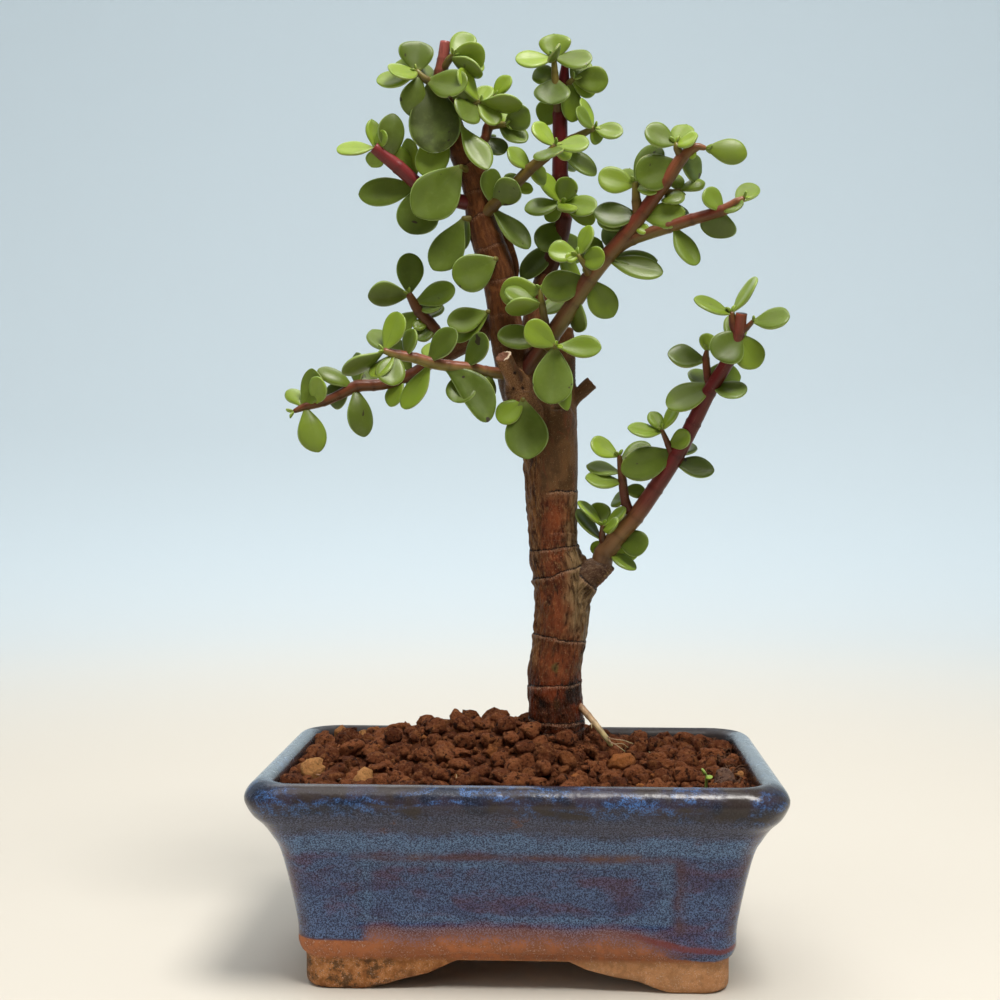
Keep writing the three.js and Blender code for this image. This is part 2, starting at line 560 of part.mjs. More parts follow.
// A closed skin through rings of as many points each, with a fan over each end, about the middle
// of the end ring or about a point given for it
function loft(rings, startPoint = null, endPoint = null) {
  const count = rings[0].length;
  const positions = [];
  const index = [];
  for (const ring of rings) {
    for (const p of ring) positions.push(p.x, p.y, p.z);
  }
  for (let k = 0; k + 1 < rings.length; k += 1) {
    for (let i = 0; i < count; i += 1) {
      const a = k * count + i;
      const b = k * count + ((i + 1) % count);
      index.push(a, b, b + count, a, b + count, a + count);
    }
  }
  const addEnd = (ring, start, point, flip) => {
    const middle = positions.length / 3;
    const centre = new THREE.Vector3();
    for (const p of ring) centre.addScaledVector(p, 1 / count);
    positions.push(...(point ?? centre).toArray());
    for (let i = 0; i < count; i += 1) {
      const a = start + i;
      const b = start + ((i + 1) % count);
      index.push(middle, flip ? b : a, flip ? a : b);
    }
  };
  addEnd(rings[0], 0, startPoint, true);
  addEnd(rings.at(-1), (rings.length - 1) * count, endPoint, false);
  const geometry = new THREE.BufferGeometry();
  geometry.setAttribute('position', new THREE.Float32BufferAttribute(positions, 3));
  geometry.setIndex(index);
  return geometry;
}

function place(across, up, depth) {
  const spread = (depth - EYE.y) / -EYE.y;
  return new THREE.Vector3(EYE.x + (across - EYE.x) * spread, depth, EYE.z + (up - EYE.z) * spread);
}

// A tapering round stem through the given places, with blunt ends
function stemSolid(places, sides, grow) {
  const points = places.map(([across, up, depth, radius]) => ({ at: place(across, up, depth), radius }));
  return tube(points, sides, grow);
}

function tube(points, sides, grow) {
  const last = points.length - 1;
  const directions = points.map((point, i) => {
    const from = points[Math.max(0, i - 1)].at;
    const to = points[Math.min(last, i + 1)].at;
    return to.clone().sub(from).normalize();
  });
  let side = new THREE.Vector3(1, 0, 0).cross(directions[0]);
  if (side.length() < 0.3) side = new THREE.Vector3(0, 1, 0).cross(directions[0]);
  const rings = [];
  const addRing = (centre, direction, radius) => {
    side.addScaledVector(direction, -side.dot(direction)).normalize();
    const other = direction.clone().cross(side);
    const ring = [];
    for (let i = 0; i < sides; i += 1) {
      const angle = (i / sides) * 2 * Math.PI;
      ring.push(centre.clone()
        .addScaledVector(side, Math.cos(angle) * radius)
        .addScaledVector(other, Math.sin(angle) * radius));
    }
    rings.push(ring);
  };
  points.forEach(({ at, radius }, i) => addRing(at, directions[i], radius + grow));
  const ends = [0, last].map((i) => (
    points[i].at.clone().addScaledVector(directions[i], (i ? 1 : -1) * (0.4 * points[i].radius + grow))
  ));
  return toSolid(loft(rings, ...ends));
}

// A fleshy blade: narrow where it grows from, broadest past its middle, and blunt at the tip
const LEAF_SECTIONS = [
  { at: 0.33, width: 0.72, thickness: 1.0 },
  { at: 0.64, width: 1.0, thickness: 1.0 },
  { at: 0.9, width: 0.66, thickness: 0.75 },
];

function leafSolid({ base, tip, facing, upper, width, thickness, arch, cup, bend }, grow) {
  const length = base.distanceTo(tip) + 2 * grow;
  const along = tip.clone().sub(base).normalize();
  const start = base.clone().addScaledVector(along, -grow);
  const across = along.clone().cross(facing);
  const centreAt = (t) => start.clone()
    .addScaledVector(along, length * t)
    .addScaledVector(upper, -arch * length * 4 * t * (1 - t))
    .addScaledVector(across, bend * length * 4 * t * (1 - t));
  const rings = LEAF_SECTIONS.map((section) => {
    const centre = centreAt(section.at);
    const half = (width * section.width) / 2 + grow;
    const thick = (thickness * section.thickness) / 2 + grow;
    const lift = cup * half;
    return [
      centre.clone().addScaledVector(across, half).addScaledVector(upper, lift),
      centre.clone().addScaledVector(facing, -thick),
      centre.clone().addScaledVector(across, -half).addScaledVector(upper, lift),
      centre.clone().addScaledVector(facing, thick),
    ];
  });
  return toSolid(loft(rings, centreAt(0), centreAt(1)));
}

function pointAlong(places, position) {
  const i = Math.min(Math.floor(position), places.length - 2);
  const [from, to] = [places[i], places[i + 1]].map(([across, up, depth]) => place(across, up, depth));
  return { at: from.clone().lerp(to, position - i), direction: to.sub(from).normalize() };
}

// Turns a row of the leaf list into a blade. The seen face first looks at the viewer, and is
// then tipped about the leaf's length.
function leafFromRow(stems, row, random) {
  const [stem, position, tipAcross, tipUp, lean, width, turn, bend = 0] = row;
  const { at: base, direction } = pointAlong(stems[stem], position);
  const tip = place(tipAcross, tipUp, base.y - lean);
  const along = tip.clone().sub(base).normalize();
  const towardsEye = EYE.clone().sub(base).normalize();
  towardsEye.addScaledVector(along, -towardsEye.dot(along)).normalize();
  const sideways = along.clone().cross(towardsEye);
  const downwards = Math.abs(sideways.z) < 0.25 ? sideways.x < 0 : sideways.z < 0;
  if (downwards) sideways.negate();
  const angle = THREE.MathUtils.degToRad(turn);
  const facing = towardsEye.multiplyScalar(Math.cos(angle)).addScaledVector(sideways, Math.sin(angle));
  const upper = facing.clone().multiplyScalar(facing.dot(direction) < 0 ? -1 : 1);
  return {
    base,
    tip,
    facing,
    upper,
    width,
    bend,
    thickness: LEAF_THICKNESS * (0.9 + 0.2 * random()),
    arch: 0.03 + 0.05 * random(),
    cup: 0.1 + 0.12 * random(),
  };
}

function shootSolid({ stems, leaves }, grow, seed) {
  const random = seededRandom(seed);
  const solids = Object.values(stems).map((places) => (
    stemSolid(places, places[0][3] < THIN_STEM ? 5 : 6, grow)
  ));
  for (const row of leaves) solids.push(leafSolid(leafFromRow(stems, row, random), grow));
  return Manifold.union(solids);
}

// The swollen leaf scars round the trunk come in as extra places along its first stem
function withRings(places) {
  const result = [...places];
  for (const height of TRUNK_RINGS) {
    const above = places.findIndex(([, up]) => up > height);
    const [from, to] = [places[above - 1], places[above]];
    for (const [step, swell] of [[-1.3, 0], [0, TRUNK_RING_SWELL], [1.3, 0]]) {
      const share = (height + step - from[1]) / (to[1] - from[1]);
      const middle = from.map((value, i) => value + (to[i] - value) * share);
      middle[3] += swell;
      result.push(middle);
    }
  }
  return result.sort((a, b) => a[1] - b[1]);
}

// Below the surface of the soil the trunk is a plain round peg
function trunkPeg(grow, top) {
  const foot = place(...TRUNK_STEMS[0][0].slice(0, 3));
  const height = top - TRUNK_FOOT_HEIGHT + grow;
  const peg = new THREE.CylinderGeometry(TRUNK_RADIUS + grow, TRUNK_RADIUS + grow, height, 14);
  peg.rotateX(Math.PI / 2);
  peg.translate(foot.x, foot.y, TRUNK_FOOT_HEIGHT - grow + height / 2);
  return toSolid(peg);
}

function trunkSolid(grow) {
  const solids = TRUNK_STEMS.map((places, i) => (
    i === 0 ? stemSolid(withRings(places), 10, grow) : stemSolid(places, 7, grow)
  ));
  const pegTop = place(...TRUNK_STEMS[0][0].slice(0, 3)).z + 1.5;
  return Manifold.union([...solids, trunkPeg(grow, pegTop)]);
}

// A level ring round the pot: rounded corners, and on each wall the edges of its panel
function potRing(height, halfLength, pressed, withPanels = true) {
  const halfDepth = halfLength - POT_DEPTH_LESS;
  const corner = FOOT_CORNER_RADIUS + (halfLength - FOOT_HALF_LENGTH) * 0.25;
  const inset = pressed * PANEL_INSET;
  const ring = [];
  const addWall = (run, offset, halfRun, halfPanel) => {
    if (!withPanels) return;
    const places = [-halfPanel - PANEL_SLOPE, -halfPanel, halfPanel, halfPanel + PANEL_SLOPE];
    places.forEach((s, i) => {
      const inner = i === 1 || i === 2;
      const distance = offset - (inner ? inset : 0);
      const clamped = Math.max(-halfRun, Math.min(halfRun, s));
      ring.push(run(clamped, distance));
    });
  };
  const addCorner = (signX, signY, startAngle) => {
    for (let i = 0; i <= CORNER_STEPS; i += 1) {
      const angle = startAngle + ((i / CORNER_STEPS) * Math.PI) / 2;
      ring.push(new THREE.Vector3(
        signX * (halfLength - corner) + Math.cos(angle) * corner,
        signY * (halfDepth - corner) + Math.sin(angle) * corner,
        height,
      ));
    }
  };
  const lengthRun = halfLength - corner - 0.5;
  const depthRun = halfDepth - corner - 0.5;
  addWall((s, d) => new THREE.Vector3(s, -d, height), halfDepth, lengthRun, PANEL_HALF_LENGTH);
  addCorner(1, -1, -Math.PI / 2);
  addWall((s, d) => new THREE.Vector3(d, s, height), halfLength, depthRun, PANEL_HALF_DEPTH);
  addCorner(1, 1, 0);
  addWall((s, d) => new THREE.Vector3(-s, d, height), halfDepth, lengthRun, PANEL_HALF_LENGTH);
  addCorner(-1, 1, Math.PI / 2);
  addWall((s, d) => new THREE.Vector3(-d, -s, height), halfLength, depthRun, PANEL_HALF_DEPTH);
  addCorner(-1, -1, Math.PI);
  return ring;
}

function archSolid(outline, span, turned) {
  const shape = new THREE.Shape(outline.map(([x, z]) => new THREE.Vector2(x, z)));
  const geometry = new THREE.ExtrudeGeometry(shape, { depth: span, bevelEnabled: false });
  geometry.translate(0, 0, -span / 2);
  geometry.rotateX(Math.PI / 2);
  if (turned) geometry.rotateZ(Math.PI / 2);
  return toSolid(geometry);
}

function potSolid() {
  let pot = toSolid(loft(POT_PROFILE.map(([z, half, pressed]) => potRing(z, half, pressed))));
  const inner = FOOT_HALF_LENGTH - FOOT_APRON_THICKNESS;
  const hollow = loft([-1, POT_FLOOR_UNDERSIDE].map((z) => potRing(z, inner, 0)));
  pot = pot.subtract(toSolid(hollow));
  pot = pot.subtract(archSolid(FRONT_ARCH, 2 * POT_HALF_LENGTH, false));
  pot = pot.subtract(archSolid(SIDE_ARCH, 2.4 * POT_HALF_LENGTH, true));
  for (const x of [-DRAIN_OFFSET, DRAIN_OFFSET]) {
    const drain = new THREE.CylinderGeometry(DRAIN_RADIUS, DRAIN_RADIUS, 12, 12);
    drain.rotateX(Math.PI / 2);
    drain.translate(x, 0, POT_FLOOR_TOP - 2);
    pot = pot.subtract(toSolid(drain));
  }
  return pot;
}

function moundHeight(x, y) {
  let height = SOIL_EDGE_HEIGHT;
  for (const [mx, my, rise, spreadX, spreadY] of SOIL_MOUNDS) {
    height += rise * Math.exp(-(((x - mx) / spreadX) ** 2) - ((y - my) / spreadY) ** 2);
  }
  return height;
}

// A staggered grid of points in which each granule's top stands among six lower ones
function soilSolid() {
  const random = seededRandom(11);
  const step = GRANULE_SPACING / 2;
  const rowStep = step * Math.sqrt(0.75);
  const halfX = POT_HALF_LENGTH - 5;
  const halfY = halfX - POT_DEPTH_LESS;
  const countX = Math.ceil((2 * halfX) / step);
  const countY = Math.ceil((2 * halfY) / rowStep);
  const positions = [];
  const index = [];
  for (let j = 0; j <= countY; j += 1) {
    for (let i = 0; i <= countX; i += 1) {
      const x = -halfX + step * (i - (j % 2) / 2) + (random() - 0.5) * 2 * GRANULE_SHIFT;
      const y = -halfY + rowStep * j + (random() - 0.5) * 2 * GRANULE_SHIFT;
      const isTop = j % 2 === 0 && (i + j / 2) % 2 === 0;
      const rise = isTop ? 0.6 + 0.6 * random() : -0.25 * random();
      positions.push(x, y, moundHeight(x, y) + GRANULE_RELIEF * rise);
    }
  }
  const at = (i, j) => j * (countX + 1) + i;
  for (let j = 0; j < countY; j += 1) {
    for (let i = 0; i < countX; i += 1) {
      const [a, b, c, d] = [at(i, j), at(i + 1, j), at(i + 1, j + 1), at(i, j + 1)];
      if (j % 2) index.push(a, b, d, b, c, d);
      else index.push(a, b, c, a, c, d);
    }
  }
  // a skirt down to one middle point closes the block, which is then cut to the pot's inside
  const edge = [];
  for (let i = 0; i < countX; i += 1) edge.push(at(i, 0));
  for (let j = 0; j < countY; j += 1) edge.push(at(countX, j));
  for (let i = countX; i > 0; i -= 1) edge.push(at(i, countY));
  for (let j = countY; j > 0; j -= 1) edge.push(at(0, j));
  const foot = positions.length / 3;
  for (const vertex of edge) positions.push(positions[3 * vertex], positions[3 * vertex + 1], 5);
  const middle = positions.length / 3;
  positions.push(0, 0, 5);
  edge.forEach((vertex, k) => {
    const next = (k + 1) % edge.length;
    index.push(vertex, foot + k, foot + next, vertex, foot + next, edge[next]);
    index.push(foot + k, middle, foot + next);
  });
  const block = new THREE.BufferGeometry();
  block.setAttribute('position', new THREE.Float32BufferAttribute(positions, 3));
  block.setIndex(index);

  const inside = POT_PROFILE.slice(-4).reverse().map(([z, half], i) => (
    potRing(z + (i === 0 ? CLEARANCE : 0), half - CLEARANCE, 0, false)
  ));
  inside.push(potRing(SOIL_CUT_TOP, POT_MOUTH_HALF_LENGTH - CLEARANCE, 0, false));
  return toSolid(block).intersect(toSolid(loft(inside)))
    .subtract(trunkPeg(CLEARANCE, SOIL_CUT_TOP))
    .subtract(stemSolid(AERIAL_ROOT, 7, CLEARANCE))
    .subtract(seedlingStem(CLEARANCE));
}

function seedlingStem(grow) {
  const top = SEEDLING_PLACE.clone().add(new THREE.Vector3(0.4, -0.3, SEEDLING_HEIGHT));
  return tube([{ at: SEEDLING_PLACE, radius: 0.6 }, { at: top, radius: 0.5 }], 6, grow);
}

function seedlingSolid() {
  const top = SEEDLING_PLACE.clone().add(new THREE.Vector3(0.4, -0.3, SEEDLING_HEIGHT));
  const solids = [seedlingStem(0)];
  for (const [dx, dz] of [[-1.6, 2.6], [1.3, -0.6]]) {
    const tip = top.clone().add(new THREE.Vector3(dx, -2.2, dz));
    const along = tip.clone().sub(top).normalize();
    const facing = new THREE.Vector3(0, -0.6, 1);
    facing.addScaledVector(along, -facing.dot(along)).normalize();
    solids.push(leafSolid({
      base: top, tip, facing, upper: facing, width: 2.4, thickness: 1.0, arch: 0, cup: 0.05, bend: 0,
    }, 0));
  }
  return Manifold.union(solids);
}

function largestBody(solid) {
  const bodies = solid.decompose();
  return bodies.reduce((best, body) => (body.volume() > best.volume() ? body : best));
}

const part = new THREE.Group();

function addPart(name, solid, colour, roughness) {
  const material = new THREE.MeshStandardMaterial({ color: colour, roughness, metalness: 0 });
  const mesh = new THREE.Mesh(toGeometry(largestBody(solid)), material);
  mesh.name = name;
  part.add(mesh);
}

addPart('pot', potSolid(), COLOURS.glaze, 0.25);
addPart('soil', soilSolid(), COLOURS.clay, 0.95);
addPart('trunk', trunkSolid(0), COLOURS.bark, 0.8);
addPart('aerial_root', stemSolid(AERIAL_ROOT, 7, 0).subtract(trunkSolid(CLEARANCE)), COLOURS.root, 0.7);
addPart('seedling', seedlingSolid(), COLOURS.youngLeaf, 0.5);

// Each shoot is cut back by a clearance where it meets the trunk or a shoot placed before it
const taken = [trunkSolid(CLEARANCE)];
SHOOTS.forEach((shoot, i) => {
  let solid = shootSolid(shoot, 0, i + 1);
  for (const other of taken) solid = solid.subtract(other);
  taken.push(shootSolid(shoot, CLEARANCE, i + 1));
  addPart(shoot.name, solid, COLOURS.leaf, 0.4);
});

export default part;
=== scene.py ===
# The looks of a dwarf jade bonsai in its glazed pot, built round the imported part.
import math
import random

import bpy
import numpy as np
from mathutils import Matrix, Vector, geometry, noise


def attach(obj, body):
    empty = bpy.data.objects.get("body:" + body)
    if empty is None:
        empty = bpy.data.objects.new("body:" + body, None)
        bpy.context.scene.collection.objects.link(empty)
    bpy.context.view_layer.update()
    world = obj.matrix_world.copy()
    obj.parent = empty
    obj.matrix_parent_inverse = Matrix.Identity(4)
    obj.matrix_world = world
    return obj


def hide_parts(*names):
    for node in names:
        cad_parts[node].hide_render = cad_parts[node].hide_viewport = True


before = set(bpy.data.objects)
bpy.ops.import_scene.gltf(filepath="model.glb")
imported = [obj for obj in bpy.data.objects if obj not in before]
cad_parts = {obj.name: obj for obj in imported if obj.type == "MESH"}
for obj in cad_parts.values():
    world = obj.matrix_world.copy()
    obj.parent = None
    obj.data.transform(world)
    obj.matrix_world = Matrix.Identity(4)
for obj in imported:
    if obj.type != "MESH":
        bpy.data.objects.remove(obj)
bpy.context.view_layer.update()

MM = 0.001

# The crown was measured as it looks from in front of the pot. A place is given in millimetres
# across and up in the upright plane y = 0, and as how far it lies behind (+) or in front (-).
EYE = np.array([15.5, -517.0, 175.8])

# Degrees that the camera looks down and to the left
CAMERA_DOWN = 1.13
CAMERA_LEFT = 2.5

# Pot, in millimetres
POT_HALF_LENGTH = 91.0
POT_MOUTH_HALF_LENGTH = 81.7
POT_DEPTH_LESS = 31.0
FOOT_HALF_LENGTH = 72.6
FOOT_APRON_THICKNESS = 9.0
POT_FLOOR_TOP = 14.5
POT_FLOOR_UNDERSIDE = 10.2
PANEL_HALF_LENGTH = 53.0
PANEL_HALF_DEPTH = 24.0
PANEL_LOW = 22.6
PANEL_HIGH = 47.6
PANEL_INSET = 0.9
DRAIN_RADIUS = 7.0
DRAIN_OFFSET = 34.0
DRAIN_STEPS = 24
LIP_HEIGHT = 72.8
FOOT_CORNER_RADIUS = 9.0
CORNER_GROWTH = 0.25
CORNER_STEPS = 14
PROFILE_STEP = 0.85
WALL_STEP = 1.3
PANEL_EDGE_STEP = 0.3
OUTER_MARKS = 12

# Half of the stretch of a wall in which the points keep their places from the foot to the lip
LONG_WALL_HOLD = 56.0
SHORT_WALL_HOLD = 26.0

# What stands for the place along the wall of a point on a corner
ON_CORNER = 1000.0

# Height and half the length of the pot's skin, from the foot up, over the lip and down inside
POT_PROFILE = [
    (0.0, FOOT_HALF_LENGTH - 1.4),
    (1.2, FOOT_HALF_LENGTH - 0.3),
    (3.5, FOOT_HALF_LENGTH),
    (10.4, FOOT_HALF_LENGTH + 0.1),
    (12.2, FOOT_HALF_LENGTH + 1.3),
    (15.0, FOOT_HALF_LENGTH + 2.3),
    (17.8, FOOT_HALF_LENGTH + 2.4),
    (22.6, FOOT_HALF_LENGTH + 2.7),
    (35.0, FOOT_HALF_LENGTH + 4.9),
    (47.6, FOOT_HALF_LENGTH + 7.8),
    (53.0, POT_HALF_LENGTH - 8.1),
    (57.5, POT_HALF_LENGTH - 5.4),
    (61.3, POT_HALF_LENGTH - 2.2),
    (66.5, POT_HALF_LENGTH),
    (70.0, POT_HALF_LENGTH - 1.0),
    (72.2, POT_HALF_LENGTH - 3.4),
    (LIP_HEIGHT, POT_HALF_LENGTH - 5.8),
    (72.0, POT_HALF_LENGTH - 8.0),
    (69.6, POT_MOUTH_HALF_LENGTH),
    (61.0, POT_MOUTH_HALF_LENGTH - 1.6),
    (46.0, POT_MOUTH_HALF_LENGTH - 7.8),
    (POT_FLOOR_TOP, POT_MOUTH_HALF_LENGTH - 14.0),
]

# How many of these rows, from the last one up, are inside the pot
INSIDE_ROWS = 5

# The arches between the feet: distance along the wall and height
FRONT_ARCH = [
    (-52, 0), (-49, 0.7), (-44, 1.7), (-38, 3.6), (-30, 5.5), (-24, 8.3), (-20, POT_FLOOR_UNDERSIDE),
    (18, POT_FLOOR_UNDERSIDE), (24, 7.4), (33, 5.2), (41, 3.9), (48, 1.2), (52, 0),
]
SIDE_ARCH = [
    (-21, 0), (-17, 4.0), (-12, 8.2), (-8, POT_FLOOR_UNDERSIDE),
    (8, POT_FLOOR_UNDERSIDE), (12, 8.2), (17, 4.0), (21, 0),
]

# Soil
SOIL_EDGE_HEIGHT = 66.6
SOIL_MOUTH_HEIGHT = 70.0
SOIL_LIFT = 0.2
SOIL_GAP = 0.5
SOIL_REACH = 49.0
SOIL_CORNER_RADIUS = 12.0
SOIL_TOP_RINGS = 40
SOIL_WALL_RINGS = 8
SOIL_MOUNDS = [
    (-23, 14, 12.0, 38, 30),
    (14, 8, 8.0, 26, 28),
]

# Lumps of another colour, as seen from the front: across, up, radius, and how ochre (up to 1)
# or how grey (down to -1)
ODD_LUMPS = [
    (-76.4, 65.9, 5, 1), (-57.6, 63.4, 4.4, 1), (-65.5, 79.1, 3.8, 0.85), (-57.8, 79.5, 2.3, 0.9),
    (-53.8, 80.2, 2.4, 0.75), (-41, 82.4, 1.5, 1), (-10.4, 73.2, 2.2, 0.45), (37.4, 69.4, 4.2, 0.65),
    (17.6, 70.2, 3.2, 0.35), (80, 65.4, 1.8, 0.9), (75, 63.8, 4.6, -1),
]

# Granules in the order they are strewn: smallest and largest radius, how many places are tried,
# and 1 for those that lie loose on top
GRANULE_SIZES = [
    (3.6, 4.7, 1500, 0), (2.7, 3.8, 5000, 0), (1.3, 2.3, 9000, 0),
    (2.9, 4.3, 700, 1), (1.5, 2.5, 1200, 1), (0.8, 1.4, 2200, 1),
]
LARGE_GRANULE = 2.65
FINE_GRANULE = 2.0
OCHRE_GRANULE = 2.6
OCHRE_SHARE = 0.05
BURIED_SPACING = 0.8
LOOSE_SPACING = 1.05
CELL_SIZE = 9

# Trunk and leaves
TRUNK_RADIUS = 10.1
TRUNK_AT_SOIL = (13.6, 84, 10)
TRUNK_FOOT_HEIGHT = 46.0
TRUNK_AROUND = 28
TRUNK_VOXEL = 0.58
POINTS_AT_A_TIME = 4000
LEAF_THICKNESS = 1.8
THIN_STEM = 2.0
CUT_STEM = 1.85
SPUR_TIP_SHARE = 0.6
TWIG_TIP_SHARE = 0.8

TRUNK_STEMS = [
    [
        (13.8, 84, 10, 10.3), (13.3, 92, 10, 10.2), (12.9, 102, 10, 9.9), (14.4, 113, 10, 9.7),
        (15.7, 130, 10, 10.2), (14.4, 140.5, 10, 9.9), (12.7, 147, 10, 9.2), (12.1, 159, 9.5, 9.3),
        (11.4, 179, 8.5, 10), (11.2, 191, 8, 10), (10.8, 198, 8, 8.8),
    ],
    [
        (12.2, 190, 9, 8.8), (13.6, 200, 10, 7.6), (14.8, 209.4, 10.5, 5.7), (16.1, 220.3, 11, 4.2),
        (16.9, 228.5, 11, 2.6),
    ],
    [
        (9.5, 191, 7, 8.6), (4.5, 199, 5, 8), (0.3, 206, 4, 7.3), (-2.4, 216.7, 4, 6.6),
        (-4.6, 226, 4.5, 6.3), (-5.9, 236, 5, 6.1), (-8, 250, 5.5, 6.1), (-11.2, 259, 5.5, 5.9),
        (-14, 268.5, 5, 5.3), (-15.7, 279, 4, 5), (-18.4, 287, 3, 5.3), (-22, 294.5, 2, 4.6),
        (-24.6, 303, 1.5, 3.6), (-26.8, 311.2, 1, 2.9), (-28.2, 316.2, 1, 2.6),
    ],
    [(4, 197, 2, 6.4), (0.5, 203.5, -0.5, 5.6), (-1, 209, -1.5, 4.6)],
    [(-0.6, 206, 0, 3.7), (-2.2, 210.5, -5, 3.4), (-4.3, 214.6, -8.5, 3.2), (-6, 218.2, -11, 3.1)],
    [
        (15, 118, 9.5, 9.3), (17.2, 127, 9, 8.3), (20.4, 133.5, 8.5, 7), (24.8, 138, 8, 5.5),
        (28.8, 139.6, 7.5, 4.9), (31.8, 137.2, 7, 4.4),
    ],
    [(17, 199, 9, 2.9), (20.8, 202.8, 9, 2.2), (23.8, 206, 9, 2.7), (26.4, 208.4, 9, 2.7)],
    [
        (-4, 232, 6, 5), (-11, 228.5, 10, 4.7), (-18, 224.5, 13, 4.3), (-25, 220.5, 15.5, 3.8),
        (-31, 217.2, 16.5, 3.2),
    ],
    [(3, 210, 10, 5), (3.9, 220.3, 12, 4.6), (6, 234, 15.5, 4.3), (9.5, 247, 18, 4)],
    [(-4, 243, 9, 2.2), (-2, 251, 11, 2), (-6.2, 265.5, 11, 1.5)],
    [(20.6, 140, 8.5, 2.6), (22.4, 143.4, 8, 1.8), (23.5, 145.6, 7.5, 1.3)],
]

# Which of these stems is which. Thin twigs follow from the last number on.
LOWER_TRUNK, RIGHT_FORK, LEFT_FORK, BROAD_STUB, THIN_STUB, SIDE_BRANCH, FIRST_TWIG = range(7)

# Leaf scars that run round a woody stem: the stem, how far up, how strong, how much the ring
# rises to the right, and 1 where only its right half shows
SCAR_RINGS = [
    (0, 81.6, 0.7, 0.6, 0), (0, 86.3, 0.9, -0.8, 0), (0, 98.5, 1, 0.3, 0), (0, 115.6, 1, -0.5, 0),
    (0, 139.4, 1, 1.3, 0), (0, 148.8, 0.8, 0.2, 0), (0, 154, 0.35, 0, 1), (0, 168.9, 0.8, 0, 1),
    (5, 137.6, 1, 0, 0), (2, 222, 0.3, 0.5, 0), (2, 233, 0.3, 0, 0), (2, 245, 0.35, 0.8, 0),
    (2, 257, 0.4, -0.6, 0), (2, 269.2, 0.5, 0.8, 0), (2, 278, 0.35, 0, 0), (2, 287.9, 0.55, 0.6, 0),
    (2, 298, 0.4, 0, 0), (7, 228, 0.3, 0, 0), (8, 226, 0.3, 0, 0), (8, 240, 0.3, 0, 0),
]

# Spots on the lower trunk as seen from the front: across, up, radius. Bare red-brown wood shows
# in the first, black rot in the second and green algae in the third.
RED_SPOTS = [(13, 159.6, 3.4), (15.6, 124, 6), (7, 129.5, 2.6), (13.2, 104.5, 4.6), (12, 95.8, 3)]
BLACK_SPOTS = [(19.8, 95.5, 3.6), (8.2, 91.0, 1.6)]
ALGAE_SPOTS = [(13.7, 91.0, 1.5), (13.2, 104.0, 1.6)]

# Woody ends that were cut: the stem whose end it is, and how dark its rim has gone
CUT_ENDS = {THIN_STUB: 0.0, SIDE_BRANCH: 1.0, FIRST_TWIG: 1.0, RIGHT_FORK: 0.5}

# Small holes in the sawn wood, as seen from the front: across and up
PORES = [(-1.4, 211.9), (-2.3, 206.1), (1.3, 206.5), (2.8, 215.6)]

AERIAL_ROOT = [
    (20.8, 91.4, 8, 1.35), (23, 89.4, 5, 1.3), (25.3, 86.8, 2, 1.25), (27.5, 84.1, -1, 1.2),
    (29.6, 81.4, -3, 1.1), (31.7, 78.6, -4, 1), (33.6, 75.8, -4, 0.7),
]
ROOTLETS = [
    [(26.8, 85.2, 0, 0.35), (26.4, 83.6, -2, 0.25), (26.5, 82.2, -3, 0.15)],
    [(31.4, 79.2, -4, 0.24), (34.6, 78.2, -6, 0.18), (38.2, 77.8, -7, 0.15), (41.6, 76.6, -7, 0.1)],
    [(31.8, 78.6, -4, 0.2), (34.2, 76.6, -7, 0.15), (37.6, 76.6, -8, 0.12), (39.8, 75.2, -8, 0.08)],
    [(32.6, 77.6, -4, 0.2), (35.6, 76.0, -8, 0.14), (38.6, 73.8, -9, 0.1)],
]

